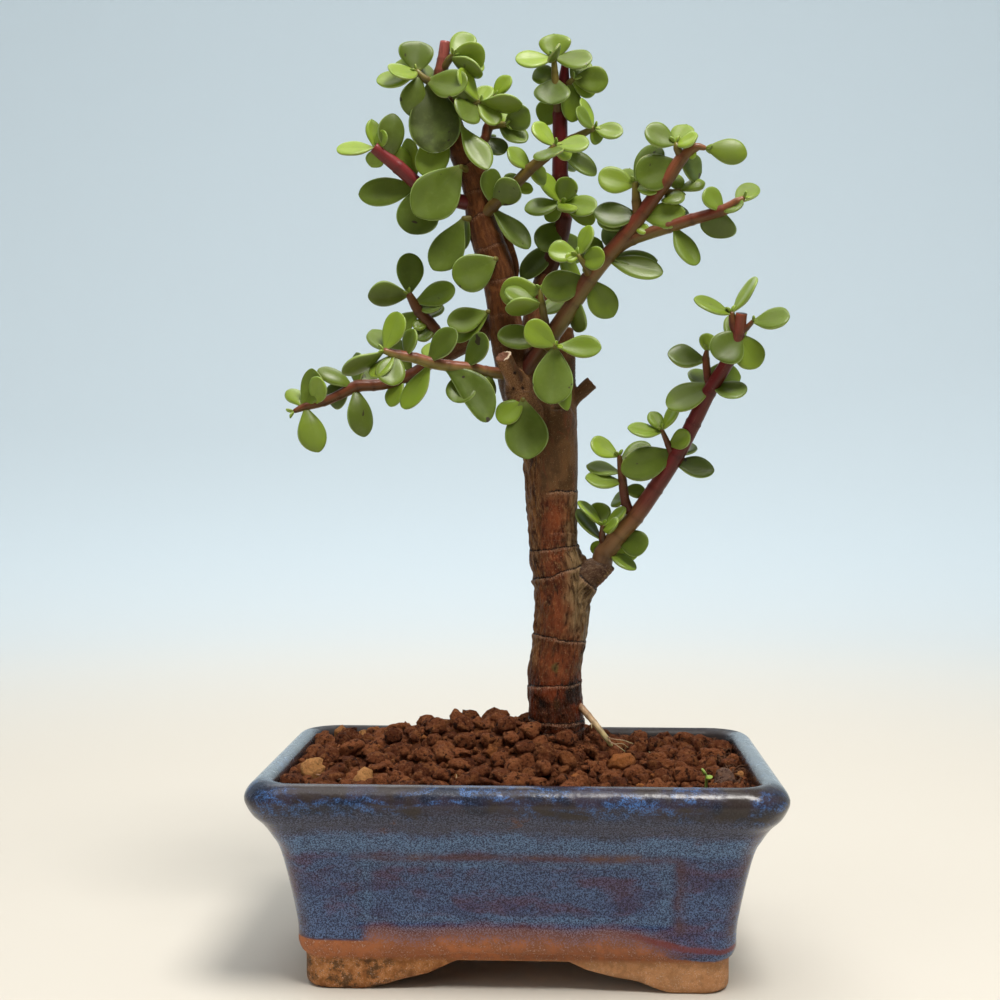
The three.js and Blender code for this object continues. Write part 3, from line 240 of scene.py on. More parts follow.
# Leafy shoots. A stem is a list of places: across, up, depth, radius. The leaves follow the name
# of the stem they grow from. A leaf is: the place along that stem counted in its points, the
# tip's across and up, how far the tip comes towards the viewer from the base, the blade's width,
# how many degrees its seen face is tipped up (or to the right on an upright leaf), and its
# sideways bend.
SHOOTS = {
    "shoot_low_right": {
        "stems": {
            "main": [
                (30, 141.5, 8, 3.9), (31, 146, 7, 3.9), (36.3, 153.1, 5, 3.5), (42.3, 159.7, 3, 3.2),
                (49.4, 169.8, 0, 3), (57.2, 182.1, -4, 2.9), (63.2, 193.7, -8, 2.8),
                (68.8, 204.9, -12, 2.6), (75.5, 216, -15, 2.4), (79.3, 225.7, -18, 2.1),
                (80.4, 233.2, -20, 2),
            ],
            "low": [(32, 148, 7, 1.6), (30.3, 151.5, 5, 1.4), (30.4, 156.3, 3, 1.2)],
            "inner": [
                (42, 158.5, 3.4, 1.9), (38.8, 164.5, 3, 1.8), (37.5, 173, 2, 1.6),
                (36.4, 181.5, 1, 1.2),
            ],
            "middle": [(56, 181, -4, 1.4), (54, 186, -5, 1.2), (51.8, 191, -6, 1)],
            "upper": [
                (70, 206, -12, 1.7), (68.4, 209.8, -12, 1.5), (67.6, 216.9, -12, 1.3),
                (67.9, 219.6, -12, 1),
            ],
            "tip": [(79, 225, -18, 1.7), (77.5, 229.5, -18, 1.6), (76.8, 233.4, -18.5, 1.3)],
            "side": [(79.6, 226, -18, 1.3), (82.2, 228, -19, 1.1), (84.4, 230.2, -20, 1)],
        },
        "leaves": [
            ("tip", (2, 85.4, 246.5, 1, 10, 66), (1.9, 63.5, 239.1, 2, 10, 62)),
            ("side", (2, 97.6, 232.4, 5, 10, 44)),
            ("main", (9, 86.4, 213.6, 1, 11, 15), (9.1, 71.2, 217.3, 4, 12.8, 0),
             (8.6, 78, 233, -9, 9, 20)),
            ("upper", (1.9, 53.7, 218.6, 1, 10, 35), (1.4, 80, 210.1, -8, 10, 30)),
            ("main", (7.3, 53.5, 199.6, 1, 11, 25), (7.2, 82.4, 204.8, 4, 10, 50),
             (7, 64, 213, -12, 10, 40)),
            ("middle", (2, 57.6, 201, 0, 8, 62), (1.9, 39.3, 191.9, 1, 9, 55),
             (0.9, 61.8, 189.7, 6, 7.5, 20)),
            ("main", (4.8, 70.8, 176.2, -2, 9, 35), (5.1, 37.1, 176.2, 4, 12.2, 0),
             (5, 61, 187, -12, 10, 30)),
            ("inner", (3, 26.5, 187.9, 1, 8.5, 38), (2.8, 47.5, 186, -4, 9, 25),
             (2.3, 24.4, 178.4, -3, 8, 52), (1.9, 23.9, 173.4, 3, 9, 48), (1.2, 34, 166, -8, 7, 30)),
            ("low", (2, 21.8, 165.6, 1, 8, 66), (1.9, 28.2, 164.6, -6, 8, 10),
             (2, 38.8, 162.7, 3, 7.5, 60), (1.7, 35.6, 157, 9, 7, 50), (0.8, 21.5, 162.7, -2, 9, 60)),
            ("main", (1.9, 46.9, 149.2, 4, 10, 5), (1.2, 42.8, 140.8, 3, 7.5, 52),
             (1.5, 43.4, 145.6, -4, 7, 10)),
        ],
    },
    "shoot_right_upper": {
        "stems": {
            "main": [
                (1.7, 212.3, 1, 3.3), (11.9, 225.8, -3, 3.2), (19.8, 237.2, -7, 3),
                (25.3, 245.9, -10, 3), (32, 254.3, -12, 2.9), (38.5, 261.6, -14, 2.8),
                (44.5, 269.6, -16, 2.6), (52.8, 280.7, -18, 2.4), (59, 289.7, -19, 2.2),
                (64, 293.2, -19.5, 1.5), (67, 292.8, -19.5, 1.1),
            ],
            "fork": [(42.9, 269.2, -16, 1.8), (42.4, 274, -16.5, 1.7), (42, 280.5, -17, 1.4)],
            "inner": [(25.3, 245.9, -10, 1.5), (24.5, 250, -14, 1.4), (21.4, 254.5, -15, 1.2)],
            "low": [(10.5, 224, -3, 1.6), (9.3, 231, -6, 1.4), (8.2, 237, -8, 1.3), (7.6, 242, -8, 1)],
            "front": [(9, 222.5, -3, 1.8), (11.2, 221, -8, 1.6), (13.4, 221.8, -12, 1.4)],
            "back": [(50.5, 277.6, -18, 1.4), (54.6, 277, -14, 1.2), (58.2, 277.4, -12, 1.1)],
            "upper": [(58.6, 289.4, -19, 1.6), (57, 293, -20, 1.3), (56.6, 294.6, -20, 1.1)],
            "lateral": [
                (34.5, 256.4, -12.5, 2.2), (41.1, 260.3, -14, 2.2), (54.2, 264.6, -17, 2.2),
                (62.6, 267.2, -19, 2.1), (72.8, 270.1, -22, 2), (78.8, 273.2, -24, 1.7),
                (80.9, 274.7, -24.5, 1.1),
            ],
        },
        "leaves": [
            ("main", (10, 82.2, 290, 1, 9.5, 22)),
            ("upper", (2, 45.6, 299.9, 2, 10, 38), (1.9, 60.4, 301.6, -4, 8.5, 28),
             (1.7, 64.4, 297.6, 4, 8, 60)),
            ("main", (7.8, 42.3, 282, 3, 13, 8), (7.9, 66, 284, -9, 10, 30)),
            ("fork", (2, 49.5, 294, -3, 11, 28), (1.9, 28.7, 283.7, 1, 10, 22),
             (1.8, 51, 278.4, 2, 8, 48), (1.7, 40, 286, -10, 9, 30)),
            ("main", (5.9, 26.9, 270.1, 0, 10.5, 32), (5.4, 28.3, 267.6, -4, 8, 40),
             (5, 29.8, 263, -8, 9, 10), (5.9, 60.1, 270, 3, 10.5, 20)),
            ("back", (2, 67.1, 280.6, 0, 7, 55), (1.8, 54.2, 272.8, 7, 8.5, 42)),
            ("main", (3.9, 52.2, 248.4, 2, 10, 34), (4, 50.2, 252.8, -4, 9, 45),
             (3, 34.2, 232.1, -3, 11, 10), (2.3, 20.8, 226.6, -5, 9, -52), (3, 8, 242, 4, 11.5, 5),
             (3.1, 28, 252, -13, 10, 30)),
            ("inner", (2, 10.6, 256.1, 2, 8.5, 30), (2, 25.6, 265.4, 2, 8, 48),
             (1.6, 30.9, 253.9, 5, 8.5, 15), (2, 30, 259.6, -5, 9, 10)),
            ("low", (2, -5.3, 242, 2, 9, 48), (2, -5.3, 235.6, 3, 9, -42),
             (3, -7.1, 240.4, -3, 11, 10), (1.4, 15.9, 238.4, -5, 8, 40)),
            ("front", (2, 2.6, 229.9, 4, 10, 12), (2, 29.9, 220.7, 1, 9, 28),
             (1.8, 11.4, 200.4, 3, 14.6, 5), (1.6, 17.6, 198.2, -1, 9, 38)),
            ("main", (0.9, -8, 225.7, 4, 9.5, 18)),
            ("lateral", (2.2, 63.9, 250.5, 1, 9, 36), (4.1, 67.6, 278.4, 1, 8.5, 42),
             (4.2, 80.8, 272.6, 5, 8, 66), (4, 69.9, 260.6, -4, 13, 0), (2.3, 57, 273, -12, 9, 30),
             (4.9, 84.5, 280, -9, 8, 30)),
        ],
    },
    "shoot_middle": {
        "stems": {
            "main": [
                (9, 246, 18, 3.6), (14, 259, 18, 3.5), (15.9, 267.8, 17, 3.3), (15.4, 275, 16, 3.2),
                (14.8, 283, 15, 3.1), (14.8, 293.1, 14, 2.9), (14.8, 305.6, 13, 2.8),
                (15.9, 315.8, 12, 2.4), (16.6, 324.6, 12, 1.5),
            ],
            "top": [
                (14.8, 304, 13, 1.9), (13.4, 313, 9, 1.5), (12.8, 320.5, 8, 1.35), (12.5, 326, 8, 1.1),
            ],
            "node": [(16, 315, 12, 1.3), (19.4, 318.2, 9, 1.3)],
            "side": [(15.4, 294.5, 14, 1.8), (19.6, 296.7, 11, 1.7), (26.9, 300.4, 8, 1.3)],
            "low": [(15.2, 272.5, 16, 1.6), (15.2, 273.6, 9, 1.5)],
        },
        "leaves": [
            ("top", (3, 12.4, 334.7, -2, 12, 0), (3, -1.5, 325.4, 2, 9.5, 52),
             (3, 26.4, 325.6, 2, 10, 48), (2.9, 12.8, 329, 9, 8, 60), (1.7, 11, 309.6, 6, 13.6, -12),
             (1.6, 5.6, 321.4, -4, 8.5, 28)),
            ("main", (6.4, 7.2, 303.4, -2, 10, 22), (6.6, 10, 311, -12, 10, 30)),
            ("node", (1, 32.2, 317.2, 1, 10, 14), (0.9, 25.4, 324.3, -4, 8.5, 28),
             (0.9, 27.7, 313.6, -4, 8, 28), (0.7, 19.2, 302.6, -1, 9.5, 28)),
            ("side", (2, 22.6, 311.4, 0, 8, 62), (2, 20.4, 307.1, 6, 8, 55),
             (2, 37.6, 298.7, 1, 8, 42), (1.9, 29.6, 295.6, -3, 6.5, 28)),
            ("main", (5.1, 27.8, 283.6, 1, 9, 42), (4.6, 20, 288, -12, 10, 30)),
            ("low", (1, 7.9, 285, 2, 9, 52), (1, 18.5, 282.6, 3, 9, 20), (1, 1.8, 271.6, 2, 9, 42),
             (1, 19, 270.4, 8, 7.5, 50), (1, 28, 271.6, 4, 10, 36), (0.7, 27.2, 266.4, 1, 9, -38)),
            ("main", (1.9, 6.9, 257, 8, 10.6, 0), (1.2, 0.6, 246.4, 4, 9.5, 26),
             (1.3, 22, 241, -1, 8, 40), (2.8, 22, 275, -11, 10, 30), (1.5, 22, 252, -8, 10, 30)),
        ],
    },
    "shoot_inner": {
        "stems": {
            "main": [
                (-13, 269, 3, 2.3), (-9.6, 272.6, 0, 2.3), (-2.3, 279.6, -3, 2.2),
                (3.5, 285.6, -5, 2.1), (9.7, 290.6, -6, 1.9), (12.9, 294.2, -7, 1.4),
            ],
        },
        "leaves": [
            ("main", (5, 5.4, 302.9, 1, 8.5, 48), (5, 25.4, 295, 1, 9, 52),
             (4.9, 8.6, 289.6, 9, 11.5, 55), (3.1, -4.2, 293.6, 1, 9, 48), (3, 10, 283, -6, 8, 30),
             (1, -9.9, 286.2, 0, 8.5, 20), (1.1, -1.4, 281.6, 8, 10.5, 0),
             (0.9, 3.3, 256.8, 0, 10, 42)),
        ],
    },
    "shoot_left_front": {
        "stems": {
            "main": [
                (-4.4, 211.4, -1, 2.2), (-12.6, 212.5, -5, 2.1), (-17.7, 213.7, -8, 2.1),
                (-26.1, 214.6, -11, 2.1), (-32.6, 215.8, -14, 2.1), (-38.1, 217.5, -16, 1.9),
                (-44.3, 218.6, -18, 1.8), (-49.4, 220.2, -20, 1.4),
            ],
        },
        "leaves": [
            ("main", (7, -44.6, 234.5, 0, 10, 34), (7, -65.2, 212.2, 2, 10, -58),
             (6.8, -54, 228, -8, 9, 30), (6.2, -47.2, 207.4, 5, 10.5, 0),
             (6.3, -54.2, 210.4, 4, 8.5, 50), (5.6, -38.6, 228.1, 2, 8, 52),
             (4.2, -23, 227.6, 4, 10, 34), (4, -42.9, 199.2, 2, 9, 34), (4.1, -30, 224, -10, 9, 30),
             (3.4, -10.7, 194.6, 2, 12, 12, -0.14), (2.3, -12.6, 226.2, 4, 9.5, 34),
             (1.9, -24.2, 201.8, 6, 11, 20), (0.9, -12.9, 201.6, 2, 8.5, 28)),
        ],
    },
    "shoot_left_rear": {
        "stems": {
            "main": [
                (-29, 218.4, 16, 2.5), (-34.5, 214.5, 16, 2.4), (-39.9, 211.3, 15, 2.2),
                (-48, 208.4, 14, 2.2), (-53.5, 207.6, 13, 2.2), (-59.6, 207.2, 12, 2.3),
                (-66.2, 204, 11, 1.9), (-71.9, 201.6, 10, 1.8), (-78.6, 199.8, 9, 1.5),
                (-82.6, 198.2, 8, 1.1),
            ],
        },
        "leaves": [
            ("main", (8.4, -75.8, 213.8, 1, 10.5, 25, 0.1), (7.6, -73, 210.4, 7, 9, 36),
             (8, -73.6, 183, 2, 10.8, 10), (8.2, -84, 206, -8, 8, 30), (5.5, -70.8, 202.6, -5, 10, 8),
             (5.1, -56.8, 188.6, 1, 10.5, 24), (5.2, -74.3, 212.8, 2, 9, 48),
             (5, -60, 219.6, -3, 8.5, -50), (5, -54, 214, -12, 10, 30), (2.4, -47.6, 199.8, 1, 9, 44),
             (2.2, -36, 203, -8, 9, 30), (1.9, -47, 225, -4, 8.5, 20)),
        ],
    },
    "shoot_left_middle": {
        "stems": {
            "main": [
                (-28.6, 221, 15, 2.4), (-31, 228, 12, 2.2), (-36.7, 234.6, 10, 2.1),
                (-40.3, 240.6, 8, 1.7),
            ],
        },
        "leaves": [
            ("main", (3, -40, 255.8, -1, 10.4, 8), (3, -55.5, 240.3, 2, 11, -32),
             (2.5, -23.7, 243.3, 2, 10, 28), (2.2, -27.9, 237, 2, 7.5, 48),
             (2, -46.4, 226.6, -2, 8.5, 38), (1.6, -30, 238, -9, 9, 30)),
        ],
    },
    "shoot_upper_left": {
        "stems": {
            "main": [
                (-17.5, 273.4, 4, 2.8), (-29, 276.3, 2, 2.7), (-35.5, 279.5, 0, 2.6),
                (-44.3, 287.1, -3, 2.6), (-53.1, 294.3, -6, 2.2),
            ],
        },
        "leaves": [
            ("main", (4, -66.9, 293.9, 1, 8.5, 52), (4, -53.9, 304.7, -1, 6, 18),
             (3.3, -46.2, 306.6, 3, 10, 14), (2.2, -47.4, 295.2, 2, 8.5, 32),
             (2.3, -40.9, 297.4, -2, 8, -36), (2.1, -58.9, 277.2, 1, 10.8, 18),
             (2, -39.6, 262.6, 1, 15.6, 0), (1.6, -30, 284, -11, 10, 30)),
        ],
    },
    "shoot_top_left": {
        "stems": {
            "main": [
                (-27.6, 313.5, 1, 2.5), (-29, 317, 1, 2.6), (-28.5, 321.3, 0.5, 2.6),
                (-27.7, 325.7, 0, 2.3), (-27, 332.3, -0.5, 1.9),
            ],
            "left": [(-28.8, 316.5, 0, 1.5), (-34, 318.6, -4, 1.4), (-37.4, 321.8, -5, 1.2)],
            "right": [(-28.2, 321.6, 0, 1.4), (-25.6, 325.8, -3, 1.3), (-24.4, 327.4, -4, 1.1)],
        },
        "leaves": [
            ("left", (2, -36.6, 332.6, -2, 12.8, 0), (2, -46.6, 320.8, 8, 11, 55),
             (1.9, -52.1, 317.8, 1, 9, 50), (1.9, -45, 325, -5, 8.5, 28),
             (1.6, -39.9, 305.4, -1, 9.6, 14), (0.7, -30.4, 292.1, 4, 19, 0),
             (1, -19.2, 316.6, 7, 12, 28), (1.2, -34, 325, -11, 9, 30)),
            ("right", (2, -12.4, 327.2, 1, 10.4, -14), (1.9, -17.2, 334.6, -5, 9.5, 28),
             (1.7, -12.8, 322.2, -3, 9.5, 36), (1.5, -13.4, 320.4, 4, 9, -48)),
        ],
    },
    "shoot_top_middle": {
        "stems": {
            "main": [
                (-17, 287, 4, 2.2), (-12.6, 296.6, 6, 1.9), (-11.5, 300.8, 6, 1.9),
                (-8.9, 306.6, 5, 1.8), (-9.3, 312.2, 4, 1.4),
            ],
            "right": [(-11.3, 301.4, 6, 1.5), (-7.5, 302, 3, 1.4), (-5, 302, 1, 1.2)],
        },
        "leaves": [
            ("main", (4, -3.3, 319.6, 1, 7, 34), (3.8, -14, 316, -8, 8, 30)),
            ("right", (2, 3.4, 307.4, 4, 10, 14), (2, -2.8, 308.2, -3, 8.5, 20),
             (1, 2.4, 295.9, 4, 9, 42)),
            ("main", (1.2, -5.4, 291.6, 3, 8, 30), (1.4, -12, 294, -10, 8, 30)),
        ],
    },
    "shoot_top_front": {
        "stems": {"main": [(-23.5, 303.5, 1, 1.8), (-19, 308, -2, 1.5), (-14.5, 310.5, -4, 1.3)]},
        "leaves": [
            ("main", (2, -21.8, 322.5, 5, 9, 56), (2, 1.2, 309.7, 2, 9.5, -46),
             (1.9, -11.2, 315.7, -5, 7, 30), (1.9, -24.6, 313.3, -2, 8.5, -48),
             (1.9, -8.3, 302, 2, 8.5, 40), (1.7, -20.4, 304.2, 9, 11.8, 0)),
        ],
    },
    "spur_top": {
        "stems": {"main": [(-22.6, 297, 1, 1.8), (-26.4, 300.5, -3, 1.5)]},
        "leaves": [("main", (1, -34.6, 283.4, 1, 12, 8), (0.8, -36, 300, -9, 9, 30))],
    },
    "spur_top_front": {
        "stems": {"main": [(-22.8, 301.5, 0, 1.7), (-21.4, 302.2, -5, 1.4)]},
        "leaves": [("main", (1, -11.4, 285.9, 4, 9.6, 30))],
    },
    "spur_upper_front": {
        "stems": {"main": [(-17.5, 285, 2, 1.8), (-21.4, 287, -5, 1.5)]},
        "leaves": [("main", (1, -38.3, 269.5, 3, 17.5, 4))],
    },
    "spur_upper_left": {
        "stems": {"main": [(-15, 268, 4, 1.8), (-20.6, 268.2, 0, 1.5)]},
        "leaves": [("main", (1, -31.5, 249.4, 1, 12.5, 10), (0.7, -24, 258, -9, 10, 30))],
    },
    "spur_front": {
        "stems": {"main": [(-8.6, 253, 4, 1.7), (-8.8, 253.4, -3, 1.4)]},
        "leaves": [("main", (1, -24.2, 246.2, 3, 13.8, 4))],
    },
    "spur_left": {
        "stems": {"main": [(-6, 234.6, 5, 1.8), (-11.8, 234.2, 2, 1.5)]},
        "leaves": [("main", (1, -26.4, 230.2, 2, 10.5, 22), (0.9, -24.6, 224.2, -1, 8.5, 34))],
    },
    "spur_low_front": {
        "stems": {"main": [(2.5, 200.5, 0, 1.9), (1.2, 202.2, -6, 1.6)]},
        "leaves": [("main", (1, 3.1, 180.4, 3, 15.8, 0), (0.9, -7.6, 194.2, 2, 9, 14))],
    },
    "spur_back": {
        "stems": {"main": [(9, 190, 14, 1.9), (8, 192, 20, 1.5)]},
        "leaves": [("main", (1, -2, 196, -9, 10.5, 30), (1, 17, 200, -9, 10.5, 30))],
    },
}

SEEDLING_PLACE = np.array([64.0, -38.0, 61.0])
SEEDLING_HEIGHT = 12.4

# Pale fibres on the soil: where each one starts (x and y), which way it runs and how long it is
FIBRES = [
    (-72, -30, 0.4, 9), (-66, 38, 2.2, 12), (70, 20, 1.1, 10), (-58, -38, 2.8, 8),
    (30, -36, 0.2, 9), (48, 2, 0.9, 8), (-20, -40, 2.0, 7), (-44, 38, -0.4, 14),
]
FIBRE_LIFT = 3.2
FIBRE_RADIUS = 0.24

# Peat threads: how many, the stretches of x and y they lie in, and the share in the first stretch
PEAT_THREADS = 150
PEAT_RIGHT = ((72, 78), (-38, 44))
PEAT_BACK = ((30, 74), (41, 47))
PEAT_RIGHT_SHARE = 0.65

# Small new leaves that only the looks show, written like the leaves above
SMALL_LEAVES = {
    "shoot_low_right": [
        ("low", (0.5, 26, 147.5, -3, 5, 20)), ("middle", (2, 47.4, 197.6, -3, 6, 30)),
        ("inner", (1.6, 46, 168.7, -3, 6, 30)), ("upper", (3, 68.4, 226, -2, 6.5, 20)),
    ],
    "shoot_right_upper": [
        ("main", (5.5, 47, 263, 2, 4.6, 30)), ("inner", (1.9, 16.6, 253.3, 2, 4, 20)),
        ("main", (5.8, 52, 272, -5, 7, 30)), ("back", (2, 55.6, 283.6, -3, 6.5, 30)),
        ("main", (8.9, 62, 289, 0, 3, 0)),
    ],
    "shoot_inner": [
        ("main", (2, 5, 278.4, -3, 4.6, 20), (2.1, -3.4, 284.6, -3, 5.5, 20), (4.8, 19, 291, -6, 7, 30)),
    ],
    "shoot_upper_left": [("main", (3.9, -49.3, 300.4, 3, 5.5, 30), (3.9, -54.1, 287, -3, 7, 10))],
    "shoot_left_middle": [("main", (1.4, -38.6, 228.6, 3, 5, 30), (1.1, -37, 223.8, 3, 7, 30))],
    "shoot_middle": [("low", (0.6, 9.5, 267.4, -3, 7, 20))],
    "shoot_left_front": [("main", (1.2, -16.4, 202.2, -3, 7, 20))],
}

# Skin colours of the young stems from foot to tip: on the side that faces SUNNY_SIDE, then on the side
# turned away.
# The second colour is painted shade, mostly a darker copy of the first; where its hue differs too, the
# sunny side is really redder. The skins of twigs, roots and the sprout below are given the same way.
STEM_SKINS = {
    "shoot_low_right": [
        ((0.13, 0.062, 0.028), (0.085, 0.04, 0.016)), ((0.3, 0.15, 0.06), (0.19, 0.11, 0.034)),
        ((0.17, 0.036, 0.022), (0.105, 0.026, 0.014)), ((0.14, 0.014, 0.013), (0.08, 0.012, 0.008)),
        ((0.13, 0.01, 0.01), (0.08, 0.01, 0.006)), ((0.12, 0.009, 0.009), (0.08, 0.012, 0.006)),
        ((0.12, 0.009, 0.009), (0.08, 0.012, 0.006)), ((0.23, 0.055, 0.03), (0.15, 0.045, 0.018)),
    ],
    "shoot_right_upper": [
        ((0.085, 0.014, 0.009), (0.08, 0.03, 0.01)), ((0.13, 0.055, 0.02), (0.14, 0.11, 0.026)),
        ((0.15, 0.04, 0.018), (0.15, 0.09, 0.026)), ((0.15, 0.028, 0.014), (0.105, 0.04, 0.014)),
        ((0.23, 0.09, 0.036), (0.18, 0.1, 0.03)),
    ],
    "shoot_middle": [
        ((0.07, 0.02, 0.008), (0.045, 0.014, 0.005)), ((0.1, 0.01, 0.009), (0.07, 0.008, 0.006)),
        ((0.2, 0.02, 0.028), (0.12, 0.012, 0.012)),
    ],
    "shoot_inner": [
        ((0.11, 0.065, 0.014), (0.075, 0.042, 0.01)), ((0.14, 0.1, 0.016), (0.11, 0.065, 0.014)),
    ],
    "shoot_left_front": [
        ((0.17, 0.06, 0.026), (0.15, 0.11, 0.03)), ((0.23, 0.07, 0.04), (0.21, 0.17, 0.042)),
        ((0.23, 0.07, 0.04), (0.21, 0.17, 0.042)),
    ],
    "shoot_upper_left": [
        ((0.15, 0.016, 0.016), (0.08, 0.012, 0.01)), ((0.26, 0.032, 0.036), (0.14, 0.02, 0.018)),
    ],
    "shoot_top_left": [
        ((0.18, 0.066, 0.02), (0.11, 0.034, 0.012)), ((0.34, 0.085, 0.075), (0.21, 0.05, 0.04)),
    ],
}
PLAIN_SKIN = [
    ((0.115, 0.03, 0.012), (0.085, 0.03, 0.01)), ((0.13, 0.036, 0.014), (0.105, 0.05, 0.014)),
]
TWIG_SKIN = [
    ((0.13, 0.05, 0.016), (0.095, 0.042, 0.012)), ((0.18, 0.16, 0.032), (0.135, 0.125, 0.022)),
]
RED_TWIG_SKIN = [
    ((0.1, 0.012, 0.01), (0.065, 0.01, 0.006)), ((0.14, 0.05, 0.018), (0.11, 0.07, 0.018)),
]
ROOT_SKIN = [
    ((0.26, 0.12, 0.06), (0.17, 0.075, 0.036)), ((0.42, 0.27, 0.14), (0.3, 0.19, 0.09)),
    ((0.38, 0.33, 0.13), (0.28, 0.24, 0.09)),
]
SPROUT_SKIN = [((0.22, 0.30, 0.06), (0.20, 0.24, 0.05))] * 2


def seeded_random(seed):
    """The same numbers in each run, in the order that the solids of the part use them."""
    state = seed

    def draw():
        nonlocal state
        state = (state * 1664525 + 1013904223) % 4294967296
        return state / 4294967296

    return draw


def unit(vector):
    return vector / np.linalg.norm(vector)


# The side that the stem and root skins paint as lit; the side turned away gets painted shade
SUNNY_SIDE = unit(np.array([-0.5, -0.2, 0.8]))


def place(across, up, depth):
    spread = (depth - EYE[1]) / -EYE[1]
    return np.array([EYE[0] + (across - EYE[0]) * spread, depth, EYE[2] + (up - EYE[2]) * spread])


def seen_at(points):
    """Across and up of points as they look from in front of the pot: the other way from place."""
    spread = (points[..., 1] - EYE[1]) / -EYE[1]
    return EYE[0] + (points[..., 0] - EYE[0]) / spread, EYE[2] + (points[..., 2] - EYE[2]) / spread


def smoothstep(low, high, value):
    share = np.clip((value - low) / (high - low), 0.0, 1.0)
    return share * share * (3 - 2 * share)


def noise_at(points, scale, seed=0.0):
    """Smooth noise of about -1 to 1 at each point."""
    shift = Vector((seed * 17.3, seed * 9.1, seed * 5.7))
    return np.array([noise.noise(Vector(p) * scale + shift) for p in points])


def add_object(name, data):
    made = bpy.data.objects.new(name, data)
    bpy.context.scene.collection.objects.link(made)
    return made


class Shape:
    """Collects vertices in millimetres, faces and point attributes for one mesh."""

    def __init__(self):
        self.vertices = []
        self.faces = []
        self.materials = []
        self.attributes = {}
        self.count = 0

    def add(self, vertices, faces, material=0, **attributes):
        self.vertices.append(np.asarray(vertices, float))
        self.faces += [tuple(int(i) + self.count for i in face) for face in faces]
        self.materials += [material] * len(faces)
        for key, values in attributes.items():
            self.attributes.setdefault(key, []).append((self.count, np.asarray(values, float)))
        self.count += len(vertices)

    def build(self, name, materials, slot, *replaced):
        mesh = bpy.data.meshes.new(name)
        mesh.from_pydata(np.concatenate(self.vertices) * MM, [], self.faces)
        for key, chunks in self.attributes.items():
            values = np.zeros((self.count, 3))
            for start, part in chunks:
                values[start:start + len(part)] = part
            add_attribute(mesh, key, values)
        mesh.polygons.foreach_set("material_index", self.materials)
        add_piece(name, mesh, materials, slot, *replaced)


def add_attribute(mesh, key, values):
    mesh.attributes.new(key, "FLOAT_VECTOR", "POINT").data.foreach_set("vector", values.ravel())


def add_piece(name, mesh, materials, slot, *replaced):
    mesh.polygons.foreach_set("use_smooth", [True] * len(mesh.polygons))
    mesh.update()
    for material in materials:
        mesh.materials.append(material)
    piece = add_object(name, mesh)
    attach(piece, "root")
    if replaced:
        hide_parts(*replaced)


def ring_faces(ring_count, around):
    """Quads between closed rings of points that follow each other."""
    faces = []
    for start in range(0, (ring_count - 1) * around, around):
        for i in range(around):
            a, b = start + i, start + (i + 1) % around
            faces.append((a, b, b + around, a + around))
    return faces


def fan_faces(around, start, tip, flip):
    pairs = [(start + i, start + (i + 1) % around) for i in range(around)]
    return [(tip, b, a) if flip else (tip, a, b) for a, b in pairs]


def tube_faces(ring_count, around):
    """The rings of a tube and its two ends, whose middle points come after the rings."""
    last = ring_count * around
    faces = ring_faces(ring_count, around)
    return faces + fan_faces(around, 0, last, True) + fan_faces(around, last - around, last + 1, False)


def smooth_path(points, step):
    """A smooth curve through rows of numbers, cut into steps of about the given length."""
    points = np.asarray(points, float)
    padded = np.vstack([2 * points[0] - points[1], points, 2 * points[-1] - points[-2]])
    rows = []
    marks = []
    for i in range(1, len(padded) - 2):
        before, start, end, after = padded[i - 1:i + 3]
        count = max(1, round(np.linalg.norm(end[:3] - start[:3]) / step))
        marks.append(len(rows))
        for t in np.arange(count) / count:
            rows.append(0.5 * (2 * start + (end - before) * t
                               + (2 * before - 5 * start + 4 * end - after) * t ** 2
                               + (3 * start - before - 3 * end + after) * t ** 3))
    marks.append(len(rows))
    rows.append(points[-1])
    return np.array(rows), marks


def path_frames(path):
    """Directions along a path and two even side directions that don't twist."""
    along = np.gradient(path[:, :3], axis=0)
    along /= np.linalg.norm(along, axis=1)[:, None]
    side = np.cross([1.0, 0.0, 0.0], along[0])
    if np.linalg.norm(side) < 0.3:
        side = np.cross([0.0, 1.0, 0.0], along[0])
    sides = []
    for direction in along:
        side = unit(side - direction * (side @ direction))
        sides.append(side)
    sides = np.array(sides)
    return along, sides, np.cross(along, sides)


def run_along(path):
    return np.concatenate([[0], np.cumsum(np.linalg.norm(np.diff(path[:, :3], axis=0), axis=1))])


def circles_along(path, around):
    """Directions along a path, the angles round it and the directions that point out from it."""
    along, side, other = path_frames(path)
    angles = np.arange(around) / around * 2 * math.pi
    circle = (side[:, None, :] * np.cos(angles)[None, :, None]
              + other[:, None, :] * np.sin(angles)[None, :, None])
    return along, angles, circle


def seen_path(places, step):
    return smooth_path([(*place(*row[:3]), row[3]) for row in places], step)


# Beyond the last place of a stem: how far its last ring lies, how wide that is and how far its
# middle lies, as shares of the radius there
CUT_TOP = (0.05, 0.9, 0.0)
ROUND_TOP = (0.38, 0.72, 0.55)


